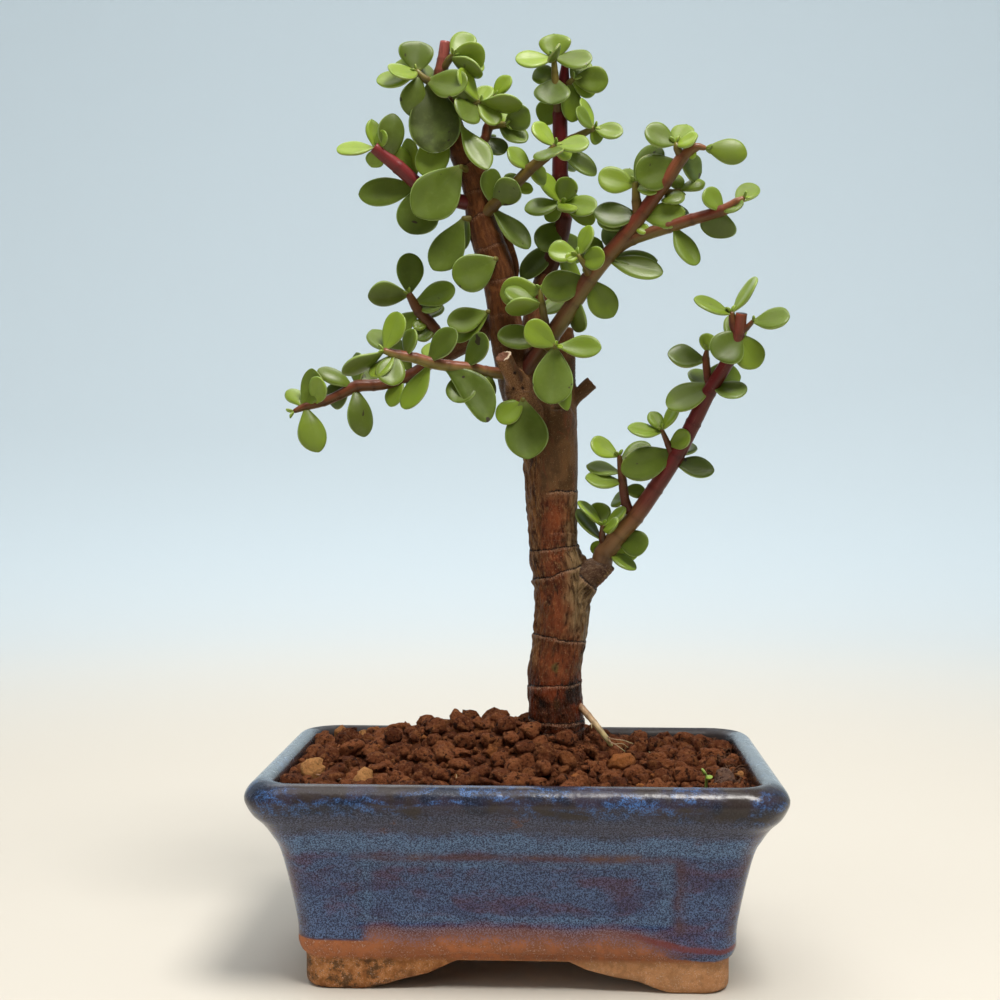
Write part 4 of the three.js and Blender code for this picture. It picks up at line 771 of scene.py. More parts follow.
def add_stem(shape, places, material, skin, step=0.9, around=14, cut=False):
    """A round stem with swollen nodes where leaves stood, tapering through the given places."""
    path, marks = seen_path(places, step)
    along, angles, circle = circles_along(path, around)
    run = run_along(path)
    radius = path[:, 3].copy()
    ring = np.zeros(len(path))
    for mark in marks[1:-1]:
        ring += np.exp(-((run - run[mark]) / 0.8) ** 2)
        radius -= 0.05 * path[:, 3] * np.exp(-((run - run[mark] - 1.2) / 0.5) ** 2)
    radius += 0.07 * path[:, 3] * ring
    # Painted light and shade: the lit skin colour on the side towards SUNNY_SIDE, the painted shade colour
    # on the other
    lit = smoothstep(-0.35, 0.4, circle @ SUNNY_SIDE)[:, :, None]
    skins = np.array(skin)
    stage = np.interp(run / run[-1], np.linspace(0, 1, len(skins)), np.arange(len(skins)))
    before = np.minimum(stage.astype(int), len(skins) - 2)
    share = (stage - before)[:, None]
    seen, painted_shade_skin = (skins[before, k] * (1 - share) + skins[before + 1, k] * share for k in (0, 1))
    colour = painted_shade_skin[:, None, :] * (1 - lit) + seen[:, None, :] * lit
    colour = colour * (1 - 0.3 * np.clip(ring, 0, 1)[:, None, None])
    flat_angles = np.stack([np.cos(angles), np.sin(angles)], axis=1)
    grain = np.concatenate([flat_angles[None] * radius[:, None, None],
                            np.broadcast_to(run[:, None, None], (len(path), around, 1))], axis=2)
    ring_out, ring_width, middle_out = CUT_TOP if cut else ROUND_TOP
    cap = path[-1, :3] + along[-1] * ring_out * radius[-1] + circle[-1] * radius[-1] * ring_width
    foot = path[0, :3] - along[0] * 0.4 * radius[0]
    top = path[-1, :3] + along[-1] * middle_out * radius[-1]
    rings = np.vstack([(path[:, None, :3] + circle * radius[:, None, None]).reshape(-1, 3), cap])
    tail = colour[-1] * (0.45 if cut else 1.0)
    colours = np.vstack([colour.reshape(-1, 3), tail, colour[0, :1], tail[:1]])
    grains = np.vstack([grain.reshape(-1, 3), grain[-1], grain[0, :1], grain[-1, :1]])
    faces = tube_faces(len(path) + 1, around)
    shape.add(np.vstack([rings, foot, top]), faces, material, skin=colours, grain=grains)


def point_along(places, position):
    i = min(int(position), len(places) - 2)
    start, end = (place(*row[:3]) for row in places[i:i + 2])
    return start + (end - start) * (position - i), unit(end - start)


def leaf_frame(stem, row, draw):
    """Where a blade lies and how it is turned. Its seen face first looks at the viewer, and is
    then tipped about the leaf's length."""
    position, tip_across, tip_up, lean, width, turn, *bend = row
    base, direction = point_along(stem, position)
    tip = place(tip_across, tip_up, base[1] - lean)
    along = unit(tip - base)
    towards_eye = unit(EYE - base)
    towards_eye = unit(towards_eye - along * (towards_eye @ along))
    sideways = np.cross(along, towards_eye)
    downwards = sideways[0] < 0 if abs(sideways[2]) < 0.25 else sideways[2] < 0
    if downwards:
        sideways = -sideways
    angle = math.radians(turn)
    facing = towards_eye * math.cos(angle) + sideways * math.sin(angle)
    upper = -facing if facing @ direction < 0 else facing
    reach = position / (len(stem) - 1)
    return {
        "base": base,
        "tip": tip,
        "upper": upper,
        "width": width,
        "bend": (bend[0] if bend else 0.0) * (1 if upper is facing else -1),
        "thickness": LEAF_THICKNESS * (0.9 + 0.2 * draw()),
        "arch": 0.03 + 0.05 * draw(),
        "cup": 0.1 + 0.12 * draw(),
        # Old leaves are wide and low on their stem; above 0.8 the skin also darkens as painted shade
        "age_and_shade": 0.55 + (width - 9.5) * 0.07 - 0.35 * reach,
    }


# Rings of points along a blade, as shares of its length
LEAF_STEPS = np.array([
    0.0, 0.03, 0.07, 0.12, 0.18, 0.25, 0.32, 0.39, 0.46, 0.53, 0.6, 0.67, 0.74, 0.8, 0.86, 0.91, 0.95,
    0.98, 0.995,
])
LEAF_AROUND = 18
WIDEST = 0.6


def blade_width(t, roundness, bluntness, point):
    """Half-width of a blade against its widest: a narrow foot, broad above, a more or less blunt tip."""
    rise = 0.11 + 0.89 * np.sin(np.clip(t / WIDEST, 0, 1) * math.pi / 2) ** (1.35 - 0.55 * roundness)
    fall = np.clip(1 - (np.clip(t - WIDEST, 0, 1) / (1 - WIDEST)) ** bluntness, 0, 1) ** point
    return np.minimum(rise, fall)


def add_leaf(shape, leaf, material, rng):
    """A fleshy blade with a rounded rim, a faint groove along its upper face and a wavy edge."""
    base, tip, upper = leaf["base"], leaf["tip"], leaf["upper"]
    length = np.linalg.norm(tip - base)
    along = unit(tip - base)
    across = np.cross(along, upper)
    twist = rng.uniform(-0.16, 0.16)
    wave_phase = rng.uniform(0, 2 * math.pi)
    wave = rng.uniform(0.01, 0.04)
    lopsided = rng.uniform(-0.15, 0.15)
    curl = rng.uniform(-0.05, 0.03)
    roundness = min(1.0, max(0.0, (leaf["width"] / length - 0.55) / 0.35))
    t = LEAF_STEPS[:, None]
    profile = blade_width(t, roundness, rng.uniform(1.9, 2.5), rng.uniform(0.44, 0.70))
    angles = np.arange(LEAF_AROUND) / LEAF_AROUND * 2 * math.pi
    cosine, sine = np.cos(angles)[None, :], np.sin(angles)[None, :]
    on_top = sine > 0
    x = cosine * profile * leaf["width"] / 2 * (1 + lopsided * cosine)
    body = 0.35 + 0.65 * np.clip(profile * 1.3, 0, 1)
    thick = leaf["thickness"] * 0.6 * (0.62 + 0.38 * np.sin(t * math.pi)) * body
    y = thick * np.where(on_top, 0.8, 1.15) * np.sign(sine) * np.abs(sine) ** 0.75
    y -= np.where(on_top, 0.35, 0.0) * thick * np.exp(-(cosine / 0.3) ** 2) * profile
    y += curl * length * t ** 3
    y += leaf["cup"] * np.abs(x) * profile
    y += wave * np.abs(x) * np.sin(t * 7 + wave_phase + np.sign(x) * 1.3)
    y += twist * x * (t - 0.3)
    arch = leaf["arch"] * length * 4 * t * (1 - t)
    swing = leaf["bend"] * length * 4 * t * (1 - t)
    vertices = (base + along * (t * length)[:, :, None] + across * (x + swing)[:, :, None]
                + upper * (y - arch)[:, :, None])
    faces = tube_faces(len(LEAF_STEPS), LEAF_AROUND)
    blade = np.stack(np.broadcast_arrays(cosine, t, sine), axis=2).reshape(-1, 3)
    blade = np.vstack([blade, [[0, 0, 0], [0, 1, 0]]])
    age_and_shade = min(1.25, max(0.0, leaf["age_and_shade"] + rng.uniform(-0.18, 0.18)))
    shape.add(np.vstack([vertices.reshape(-1, 3), base, tip]), faces, material, blade=blade,
              leaf=np.tile([rng.random(), age_and_shade, rng.random()], (len(blade), 1)))


# Shaders


def node(kind, inputs, tree=None, **settings):
    """A node in the given tree, or else in the tree of the nodes that feed it."""
    fed = {key: value for key, value in inputs.items() if isinstance(value, bpy.types.NodeSocket)}
    tree = tree or next(iter(fed.values())).id_data
    made = tree.nodes.new(kind)
    for key, value in settings.items():
        setattr(made, key, value)
    for key, value in inputs.items():
        if key in fed:
            tree.links.new(value, made.inputs[key])
        else:
            made.inputs[key].default_value = value
    return made


def new_material(name, **inputs):
    material = bpy.data.materials.new(name)
    material.use_nodes = True
    shader = material.node_tree.nodes["Principled BSDF"]
    for key, value in inputs.items():
        shader.inputs[key.replace("_", " ")].default_value = value
    return material, material.node_tree, shader


def attribute(tree, name, output="Vector"):
    return node("ShaderNodeAttribute", {}, tree, attribute_name=name).outputs[output]


def place_in(tree):
    return node("ShaderNodeTexCoord", {}, tree).outputs["Object"]


def split(vector):
    return node("ShaderNodeSeparateXYZ", {"Vector": vector}).outputs


def combined(operation, first, second=0.0):
    return node("ShaderNodeMath", {0: first, 1: second}, operation=operation).outputs[0]


def times(first, *others):
    for other in others:
        first = combined("MULTIPLY", first, other)
    return first


def plus(first, *others):
    for other in others:
        first = combined("ADD", first, other)
    return first


def minus(first, second):
    return combined("SUBTRACT", first, second)


def larger_of(first, second):
    return combined("MAXIMUM", first, second)


def size_of(value):
    return combined("ABSOLUTE", value)


def remap(value, low, high, to_low=0.0, to_high=1.0):
    return node("ShaderNodeMapRange", {
        "Value": value, "From Min": low, "From Max": high, "To Min": to_low, "To Max": to_high,
    }, interpolation_type="SMOOTHSTEP").outputs[0]


def speckle(vector, scale, detail=3.0, roughness=0.55, distortion=0.0):
    return node("ShaderNodeTexNoise", {
        "Vector": vector, "Scale": scale, "Detail": detail, "Roughness": roughness,
        "Distortion": distortion,
    }).outputs["Fac"]


def stretched(vector, scale):
    return node("ShaderNodeMapping", {"Vector": vector, "Scale": scale}).outputs[0]


def mix(factor, first, second):
    """One colour over another. A plain colour is given as red, green and blue."""
    first, second = ((*tone, 1.0) if isinstance(tone, tuple) else tone for tone in (first, second))
    return node("ShaderNodeMix", {0: factor, 6: first, 7: second}, data_type="RGBA").outputs[2]


def bump(shader, height, strength, distance):
    made = node("ShaderNodeBump", {"Height": height, "Strength": strength, "Distance": distance})
    shader.id_data.links.new(made.outputs[0], shader.inputs["Normal"])


def paint(shader, colour, roughness=None):
    shader.id_data.links.new(colour, shader.inputs["Base Color"])
    if roughness is not None:
        shader.id_data.links.new(roughness, shader.inputs["Roughness"])


def leaf_material():
    """Fleshy green skin, lighter and yellower when young, with thin pale rims of painted highlight, painted
    shade on the oldest leaves and a few scars.
    """
    material, tree, shader = new_material("leaf_skin", Subsurface_Weight=0.12, Subsurface_Scale=0.003,
                                          Subsurface_Radius=(0.3, 0.6, 0.08), Coat_Weight=0.12,
                                          Coat_Roughness=0.3, Specular_IOR_Level=0.28)
    across, along, side = split(attribute(tree, "blade"))
    tint, age_and_shade, spot = split(attribute(tree, "leaf"))
    where = place_in(tree)
    away = size_of(across)
    old = remap(age_and_shade, 0.05, 0.6)
    young = mix(tint, (0.275, 0.385, 0.028), (0.195, 0.29, 0.02))
    grown = mix(tint, (0.106, 0.155, 0.014), (0.062, 0.095, 0.009))
    colour = mix(remap(age_and_shade, -0.2, 0.62), young, grown)
    # Painted shade: past 0.8 a leaf turns near black-green, for the shade on wide hanging leaves, partly
    # their older colour
    colour = mix(remap(age_and_shade, 0.8, 1.25, 0.0, 0.95), colour, (0.032, 0.041, 0.008))
    colour = mix(remap(side, 0.2, -0.3, 0.0, 0.4), colour, (0.105, 0.138, 0.02))
    cloud = speckle(where, 150.0, 4.0)
    colour = mix(remap(cloud, 0.4, 0.7, 0.0, 0.35), colour, (0.15, 0.215, 0.03))
    shade = speckle(where, 75.0, 2.0)
    dark = times(remap(shade, 0.45, 0.65, 0.0, 0.45), old)
    colour = mix(dark, colour, (0.05, 0.072, 0.007))
    inner = times(remap(away, 1.0, 0.2), remap(along, 0.98, 0.6), old)
    colour = mix(times(inner, 0.35), colour, (0.06, 0.082, 0.008))
    foot = remap(along, 0.18, 0.02, 0.0, 0.7)
    colour = mix(foot, colour, (0.19, 0.225, 0.06))
    vein = times(remap(away, 0.09, 0.0), remap(along, 0.75, 0.1, 0.0, 0.35))
    colour = mix(vein, colour, (0.06, 0.09, 0.015))
    # Painted highlight: the pale rim stands for light shining through and glancing off the thin edge
    rim = remap(away, 0.91, 0.99, 0.0, 0.8)
    colour = mix(rim, colour, (0.29, 0.38, 0.11))
    red = times(remap(away, 0.95, 1.0), remap(spot, 0.72, 0.8))
    colour = mix(times(red, 0.4), colour, (0.22, 0.07, 0.03))
    bloom = remap(speckle(where, 520.0, 4.0, 0.65), 0.5, 0.74, 0.0, 0.08)
    bloom = times(bloom, remap(shade, 0.62, 0.42))
    colour = mix(bloom, colour, (0.27, 0.33, 0.13))
    scars = remap(speckle(where, 230.0, 1.0), 0.73, 0.745)
    colour = mix(times(scars, old), colour, (0.03, 0.02, 0.01))
    paint(shader, colour, remap(cloud, 0.3, 0.7, 0.34, 0.5))
    bump(shader, speckle(where, 1300.0, 2.0), 0.1, 0.0002)
    return material


def stem_material():
    """Smooth satin skin of the young shoots, finely streaked, with pale pores."""
    material, tree, shader = new_material("stem_skin", Coat_Weight=0.1, Coat_Roughness=0.25,
                                          Specular_IOR_Level=0.22)
    skin = attribute(tree, "skin", "Color")
    grain = attribute(tree, "grain")
    streak = speckle(stretched(grain, (1.0, 1.0, 0.12)), 1.3, 4.0)
    colour = mix(remap(streak, 0.54, 0.75, 0.0, 0.18), skin, (0.24, 0.11, 0.045))
    dark = remap(streak, 0.46, 0.3, 0.0, 0.3)
    colour = mix(dark, colour, (0.03, 0.006, 0.005))
    pores = remap(speckle(grain, 2.6, 1.0), 0.72, 0.78, 0.0, 0.4)
    colour = mix(pores, colour, (0.4, 0.24, 0.15))
    paint(shader, colour, remap(streak, 0.3, 0.7, 0.3, 0.46))
    bump(shader, streak, 0.08, 0.0003)
    return material


def smooth_skin(height, streak, fine, patch, other, dust):
    """Colour of the smooth upper trunk, with redder skin above its fork."""
    smooth = mix(remap(patch, 0.35, 0.65), (0.062, 0.03, 0.01), (0.125, 0.06, 0.022))
    smooth = mix(remap(other, 0.52, 0.66, 0.0, 0.7), smooth, (0.13, 0.042, 0.016))
    smooth = mix(remap(dust, 0.6, 0.69, 0.0, 0.7), smooth, (0.3, 0.215, 0.12))
    smooth = mix(remap(fine, 0.5, 0.34, 0.0, 0.35), smooth, (0.045, 0.02, 0.008))
    segment = mix(remap(streak, 0.34, 0.66), (0.06, 0.018, 0.004), (0.125, 0.043, 0.011))
    segment = mix(remap(patch, 0.52, 0.66, 0.0, 0.6), segment, (0.21, 0.082, 0.026))
    return mix(remap(height, 0.212, 0.235), smooth, segment)


def soaked_bark(streak, fine, patch, red_spot):
    """Colour of the bark that stands in wet soil."""
    soaked = mix(remap(patch, 0.42, 0.58), (0.036, 0.008, 0.003), (0.125, 0.022, 0.006))
    soaked = mix(remap(fine, 0.56, 0.66, 0.0, 0.8), soaked, (0.3, 0.08, 0.024))
    soaked = mix(times(red_spot, 0.7), soaked, (0.21, 0.04, 0.012))
    # Painted shade: near black in the low furrows of the wet bark
    return mix(remap(streak, 0.42, 0.34), soaked, (0.01, 0.004, 0.003))


def bark_material():
    """Flaky red-brown bark below, smooth skin above, thin dark rings and pale cut wood, with painted shade
    in the furrows and cracks and painted highlights on the ridges of the pale strip.
    """
    material, tree, shader = new_material("bark", Coat_Weight=0.06, Coat_Roughness=0.2,
                                          Specular_IOR_Level=0.12)
    grain = attribute(tree, "grain")
    ring_away, ring_strength, crack = split(attribute(tree, "ring"))
    rough, olive, tan = split(attribute(tree, "tone"))
    cut, cut_radius, pore = split(attribute(tree, "sawn"))
    red_spot, black_spot, algae = split(attribute(tree, "spots"))
    strip, knob, _ = split(attribute(tree, "zone"))
    height = split(place_in(tree))[2]
    streak = speckle(stretched(grain, (1.0, 1.0, 0.24)), 0.75, 5.0, 0.62, 0.6)
    fine = speckle(stretched(grain, (1.0, 1.0, 0.32)), 2.2, 5.0, 0.75, 0.5)
    patch = speckle(stretched(grain, (1.0, 1.0, 0.6)), 0.17, 4.0, 0.62, 0.8)
    other = speckle(stretched(grain, (1.0, 1.0, 0.5)), 0.31, 4.0, 0.6, 1.2)
    dust = speckle(grain, 2.4, 3.0, 0.7)
    colour = mix(remap(streak, 0.34, 0.66), (0.058, 0.011, 0.003), (0.165, 0.044, 0.013))
    drab = times(remap(other, 0.48, 0.62, 0.0, 0.6), remap(fine, 0.42, 0.58))
    colour = mix(drab, colour, (0.175, 0.098, 0.04))
    bare = times(remap(patch, 0.5, 0.64), remap(fine, 0.36, 0.58))
    bare = larger_of(times(bare, 0.7), times(red_spot, 0.6))
    colour = mix(bare, colour, mix(fine, (0.09, 0.012, 0.003), (0.4, 0.105, 0.034)))
    smooth = smooth_skin(height, streak, fine, patch, other, dust)
    colour = mix(rough, smooth, colour)
    flake = times(remap(fine, 0.55, 0.64), rough)
    colour = mix(times(flake, 0.42), colour, (0.33, 0.17, 0.07))
    moss_colour = mix(remap(streak, 0.38, 0.62), (0.085, 0.05, 0.018), (0.3, 0.205, 0.098))
    colour = mix(times(olive, 0.85), colour, moss_colour)
    # The tan ridges of the left strip; their palest colour, on the ridge tops, is a painted highlight
    crest_and_highlight = mix(remap(streak, 0.38, 0.6), (0.046, 0.016, 0.006), (0.25, 0.125, 0.045))
    crest_and_highlight = mix(remap(fine, 0.52, 0.64, 0.0, 0.7), crest_and_highlight, (0.46, 0.28, 0.12))
    colour = mix(times(strip, 0.65), colour, crest_and_highlight)
    callus = mix(remap(other, 0.4, 0.6), (0.04, 0.017, 0.009), (0.125, 0.07, 0.038))
    callus = mix(remap(dust, 0.52, 0.64, 0.0, 0.6), callus, (0.22, 0.15, 0.095))
    colour = mix(times(knob, 0.9), colour, callus)
    colour = mix(times(algae, 0.8), colour, (0.13, 0.105, 0.03))
    # Painted shade: near black in the low furrows of the rough bark
    hollow_shade = times(remap(streak, 0.41, 0.33), rough, remap(patch, 0.56, 0.42, 0.15, 0.8))
    colour = mix(hollow_shade, colour, (0.018, 0.007, 0.003))
    wet = remap(height, 0.104, 0.096)
    colour = mix(times(wet, 0.85), colour, soaked_bark(streak, fine, patch, red_spot))
    colour = mix(times(black_spot, 0.9), colour, (0.012, 0.007, 0.005))
    # Painted shade: the cracks pushed into the bark go near black
    colour = mix(times(crack, 0.85), colour, (0.014, 0.006, 0.003))
    glint = times(remap(dust, 0.62, 0.69), larger_of(rough, wet))
    colour = mix(times(glint, 0.7), colour, (0.48, 0.29, 0.16))
    block = mix(remap(dust, 0.35, 0.65), (0.105, 0.045, 0.018), (0.29, 0.15, 0.066))
    colour = mix(tan, colour, block)
    wander = remap(fine, 0.3, 0.7, -0.35, 0.35)
    away = plus(ring_away, wander)
    lip = times(remap(away, -1.9, -0.5), remap(away, -0.1, -0.3), ring_strength)
    lip = times(lip, remap(dust, 0.42, 0.6, 0.0, 0.6))
    colour = mix(lip, colour, (0.42, 0.25, 0.16))
    line = remap(size_of(away), 0.36, 0.12)
    line = times(line, remap(ring_strength, 0.15, 0.85))
    colour = mix(line, colour, (0.008, 0.004, 0.002))
    wood = mix(dust, (0.04, 0.016, 0.009), (0.26, 0.11, 0.06))
    wood = mix(remap(cut_radius, 0.66, 0.78), wood, (0.48, 0.38, 0.27))
    colour = mix(cut, colour, wood)
    colour = mix(pore, colour, (0.016, 0.008, 0.005))
    dry = remap(fine, 0.3, 0.7, 0.34, 0.6)
    paint(shader, colour, minus(dry, times(wet, 0.2)))
    relief = plus(streak, times(fine, 0.8), times(other, 0.8))
    relief = times(relief, remap(rough, 0.0, 1.0, 0.25, 1.0))
    relief = minus(relief, times(line, 0.5))
    bump(shader, relief, 0.8, 0.0013)
    return material


def granule_material():
    """Rough baked clay, red-brown with ochre and grey lumps among it."""
    material, tree, shader = new_material("baked_clay_granules", Roughness=0.92,
                                          Specular_IOR_Level=0.12)
    tint, kind, _ = split(attribute(tree, "granule"))
    where = place_in(tree)
    colour = mix(tint, (0.1, 0.026, 0.009), (0.285, 0.092, 0.034))
    colour = mix(remap(kind, 0.2, 0.6), colour, (0.43, 0.15, 0.044))
    colour = mix(remap(kind, 0.7, 1.0), colour, (0.64, 0.31, 0.11))
    colour = mix(remap(kind, -0.6, -1.0), colour, (0.19, 0.11, 0.08))
    crust = speckle(where, 210.0, 3.0, 0.6)
    colour = mix(remap(crust, 0.52, 0.64, 0.0, 0.45), colour, (0.33, 0.125, 0.042))
    grit = speckle(where, 800.0, 6.0, 0.8)
    colour = mix(remap(grit, 0.53, 0.66, 0.0, 0.65), colour, (0.4, 0.18, 0.08))
    shadow = times(remap(grit, 0.48, 0.38), remap(kind, 0.0, 0.8, 0.85, 0.4))
    colour = mix(shadow, colour, (0.036, 0.01, 0.004))
    # Painted shade: the pits, sunk by the bump, go near black
    pits = remap(speckle(where, 380.0, 4.0, 0.65), 0.43, 0.37)
    pits = times(pits, remap(kind, 0.0, 0.8, 0.85, 0.25))
    colour = mix(pits, colour, (0.018, 0.006, 0.003))
    paint(shader, colour)
    relief = plus(grit, times(crust, 0.8))
    bump(shader, minus(relief, times(pits, 0.3)), 1.0, 0.0026)
    return material


def soil_bed_material():
    material, tree, shader = new_material("soil_bed", Roughness=1.0, Specular_IOR_Level=0.1)
    grit = speckle(place_in(tree), 700.0, 5.0, 0.7)
    paint(shader, mix(grit, (0.016, 0.006, 0.003), (0.11, 0.036, 0.014)))
    bump(shader, grit, 0.9, 0.001)
    return material


def peat_material():
    """Dark peat threads caught along the inside of the pot."""
    material, tree, shader = new_material("peat", Roughness=0.9, Specular_IOR_Level=0.2)
    streak = speckle(attribute(tree, "grain"), 1.2, 4.0)
    paint(shader, mix(streak, (0.016, 0.007, 0.004), (0.12, 0.05, 0.022)))
    bump(shader, streak, 0.4, 0.0004)
    return material


def root_material():
    material, tree, shader = new_material("pale_root", Roughness=0.5)
    grain = stretched(attribute(tree, "grain"), (1.0, 1.0, 0.3))
    streak = speckle(grain, 1.6, 4.0)
    skin = attribute(tree, "skin", "Color")
    worn = mix(remap(streak, 0.46, 0.32, 0.0, 0.6), skin, (0.13, 0.06, 0.03))
    paint(shader, mix(remap(streak, 0.56, 0.7, 0.0, 0.4), worn, (0.62, 0.5, 0.33)))
    bump(shader, streak, 0.3, 0.0003)
    return material


def lip_colour(place_on_pot, back_edge, broad, other, waves, mottle, grains):
    """Near-black glaze on the lip, with blue streaks in front, a painted pale reflection on its ends and
    sooty blotches.
    """
    x, y, z = place_on_pot
    lip = mix(remap(other, 0.4, 0.6), (0.01, 0.013, 0.026), (0.034, 0.026, 0.04))
    lip = mix(remap(grains, 0.5, 0.66, 0.0, 0.55), lip, (0.08, 0.105, 0.17))
    bright = times(remap(waves, 0.46, 0.6), remap(mottle, 0.44, 0.58, 0.05, 1.0))
    bright = times(bright, remap(grains, 0.45, 0.55, 0.05, 1.0))
    bright = times(bright, remap(y, 0.035, 0.02, 0.15, 1.0))
    lip = mix(bright, lip, (0.06, 0.14, 0.34))
    soot = times(remap(broad, 0.48, 0.58), remap(waves, 0.56, 0.44, 0.2, 0.9))
    lip = mix(soot, lip, mix(grains, (0.008, 0.006, 0.006), (0.06, 0.044, 0.036)))
    rust_dots = times(remap(grains, 0.66, 0.72), remap(broad, 0.5, 0.4))
    lip = mix(rust_dots, lip, (0.24, 0.11, 0.05))
    # Painted reflection: a pale grey-blue sheen on top of the lip at both ends
    end_sheen = mix(remap(grains, 0.38, 0.52), (0.04, 0.048, 0.058), (0.23, 0.29, 0.33))
    end_sheen_share = remap(size_of(x), 0.079, 0.085, 0.0, 0.75)
    end_sheen_share = times(end_sheen_share, remap(z, 0.0665, 0.07), remap(y, -0.052, -0.04))
    lip = mix(end_sheen_share, lip, end_sheen)
    return mix(times(back_edge, 0.8), lip, (0.014, 0.009, 0.008))


def clay_colour(where, place_on_pot, broad, mottle, grains):
    """Bare clay of the feet: red-brown, ochre below, stained at the left and salted with white."""
    x, _, z = place_on_pot
    clay = mix(remap(broad, 0.35, 0.65), (0.42, 0.14, 0.05), (0.3, 0.1, 0.04))
    clay = mix(remap(mottle, 0.46, 0.62, 0.0, 0.5), clay, (0.24, 0.078, 0.032))
    burnt = times(remap(x, -0.03, 0.005, 0.3, 0.9), remap(mottle, 0.36, 0.56))
    clay = mix(burnt, clay, (0.25, 0.092, 0.042))
    ochre = mix(remap(mottle, 0.35, 0.65), (0.25, 0.09, 0.022), (0.48, 0.2, 0.066))
    ochre = mix(remap(x, 0.0, 0.03), ochre, mix(mottle, (0.3, 0.12, 0.042), (0.64, 0.33, 0.15)))
    clay = mix(remap(z, 0.0118, 0.0098), clay, ochre)
    stain = remap(speckle(where, 230.0, 8.0, 0.8), 0.48, 0.55)
    stain = times(stain, remap(x, -0.03, -0.05, 0.3, 1.0), remap(z, 0.0125, 0.0095))
    clay = mix(times(stain, 0.75), clay, (0.034, 0.022, 0.008))
    salt = times(remap(grains, 0.56, 0.63), remap(mottle, 0.42, 0.58))
    return mix(times(salt, 0.7), clay, (0.64, 0.48, 0.38))


def glaze_material():
    """A speckled blue glaze, dark on the lip and light where it pools, that breaks to brown over
    the ridges and stops above the feet."""
    material, tree, shader = new_material("pot_glaze", Specular_IOR_Level=0.32)
    where = place_in(tree)
    place_on_pot = split(where)
    x, y, z = place_on_pot
    ridge, pool, inside = split(attribute(tree, "glaze"))
    broad = speckle(where, 42.0, 4.0, 0.55)
    other = speckle(stretched(where, (1.0, 1.0, 2.2)), 60.0, 5.0, 0.6, 0.4)
    waves = speckle(stretched(where, (1.0, 1.0, 2.8)), 52.0, 3.0, 0.55, 1.0)
    mottle = speckle(where, 330.0, 5.0, 0.65)
    grains = speckle(where, 1900.0, 3.0, 0.8)
    wander = remap(broad, 0.3, 0.7, -0.0016, 0.0016)
    level = plus(z, wander, remap(mottle, 0.3, 0.7, -0.0008, 0.0008))
    light = remap(grains, 0.46, 0.56)
    blue = mix(light, (0.018, 0.023, 0.06), (0.105, 0.175, 0.35))
    violet = mix(light, (0.034, 0.016, 0.032), (0.12, 0.096, 0.2))
    body = mix(remap(other, 0.46, 0.64), blue, violet)
    pale = mix(light, (0.022, 0.036, 0.086), (0.135, 0.24, 0.42))
    dusk = mix(light, (0.018, 0.017, 0.03), (0.08, 0.095, 0.16))
    brown = mix(grains, (0.06, 0.022, 0.012), (0.17, 0.07, 0.034))
    in_band = times(remap(level, 0.047, 0.0495), remap(level, 0.057, 0.0535))
    colour = mix(times(in_band, 0.9), body, pale)
    colour = mix(times(pool, 0.8), colour, pale)
    colour = mix(remap(level, 0.0535, 0.058), colour, dusk)
    blotch = times(remap(other, 0.6, 0.68), times(remap(level, 0.053, 0.058), remap(level, 0.064, 0.06)))
    colour = mix(times(blotch, 0.8), colour, brown)
    back_edge = times(remap(y, 0.044, 0.048), remap(y, 0.056, 0.054))
    lip = lip_colour(place_on_pot, back_edge, broad, other, waves, mottle, grains)
    colour = mix(remap(level, 0.0615, 0.0655), colour, lip)
    worn = mix(remap(broad, 0.52, 0.6), mix(light, (0.05, 0.02, 0.026), (0.11, 0.06, 0.085)), brown)
    deep = times(remap(waves, 0.52, 0.62, 0.0, 0.55), remap(z, 0.05, 0.046))
    colour = mix(deep, colour, mix(light, (0.014, 0.014, 0.036), (0.06, 0.075, 0.2)))
    ridge_wear = times(ridge, remap(other, 0.4, 0.56, 0.45, 0.95))
    colour = mix(ridge_wear, colour, worn)
    colour = mix(inside, colour, mix(mottle, (0.008, 0.006, 0.007), (0.03, 0.018, 0.014)))
    edge = remap(x, 0.03, 0.064, 0.0172, 0.0118)
    drift = remap(broad, 0.3, 0.7, -0.001, 0.001)
    drift = times(drift, remap(x, -0.052, -0.04, 0.35, 1.0))
    above = minus(plus(z, drift), edge)
    middle_wall = times(remap(x, -0.053, -0.048), remap(x, 0.062, 0.04))
    rust = mix(light, (0.13, 0.042, 0.034), (0.27, 0.15, 0.15))
    thin = times(remap(above, 0.008, 0.0035), middle_wall)
    colour = mix(times(thin, 0.9), colour, rust)
    stripe = times(remap(above, 0.0056, 0.0044), remap(above, 0.0022, 0.0036), remap(x, 0.03, 0.048))
    colour = mix(times(stripe, 0.8), colour, (0.17, 0.03, 0.026))
    hem = times(remap(above, 0.0012, 0.0002), remap(x, -0.046, -0.052))
    colour = mix(times(hem, 0.7), colour, (0.09, 0.036, 0.04))
    speckled = plus(above, remap(grains, 0.4, 0.6, -0.0016, 0.0016))
    faded = times(remap(speckled, 0.0036, -0.001), middle_wall)
    sharp = times(remap(above, 0.0004, -0.0003), minus(1.0, middle_wall))
    bare = plus(faded, sharp)
    colour = mix(bare, colour, clay_colour(where, place_on_pot, broad, mottle, grains))
    shine = remap(mottle, 0.3, 0.7, 0.1, 0.26)
    shine = plus(shine, remap(z, 0.064, 0.07, 0.0, 0.03), times(back_edge, 0.3))
    paint(shader, colour, plus(shine, times(bare, 0.55)))
    relief = plus(times(broad, 1.6), times(mottle, bare, 0.8), times(mottle, 0.3))
    bump(shader, relief, 0.4, 0.0012)
    return material


# Pot


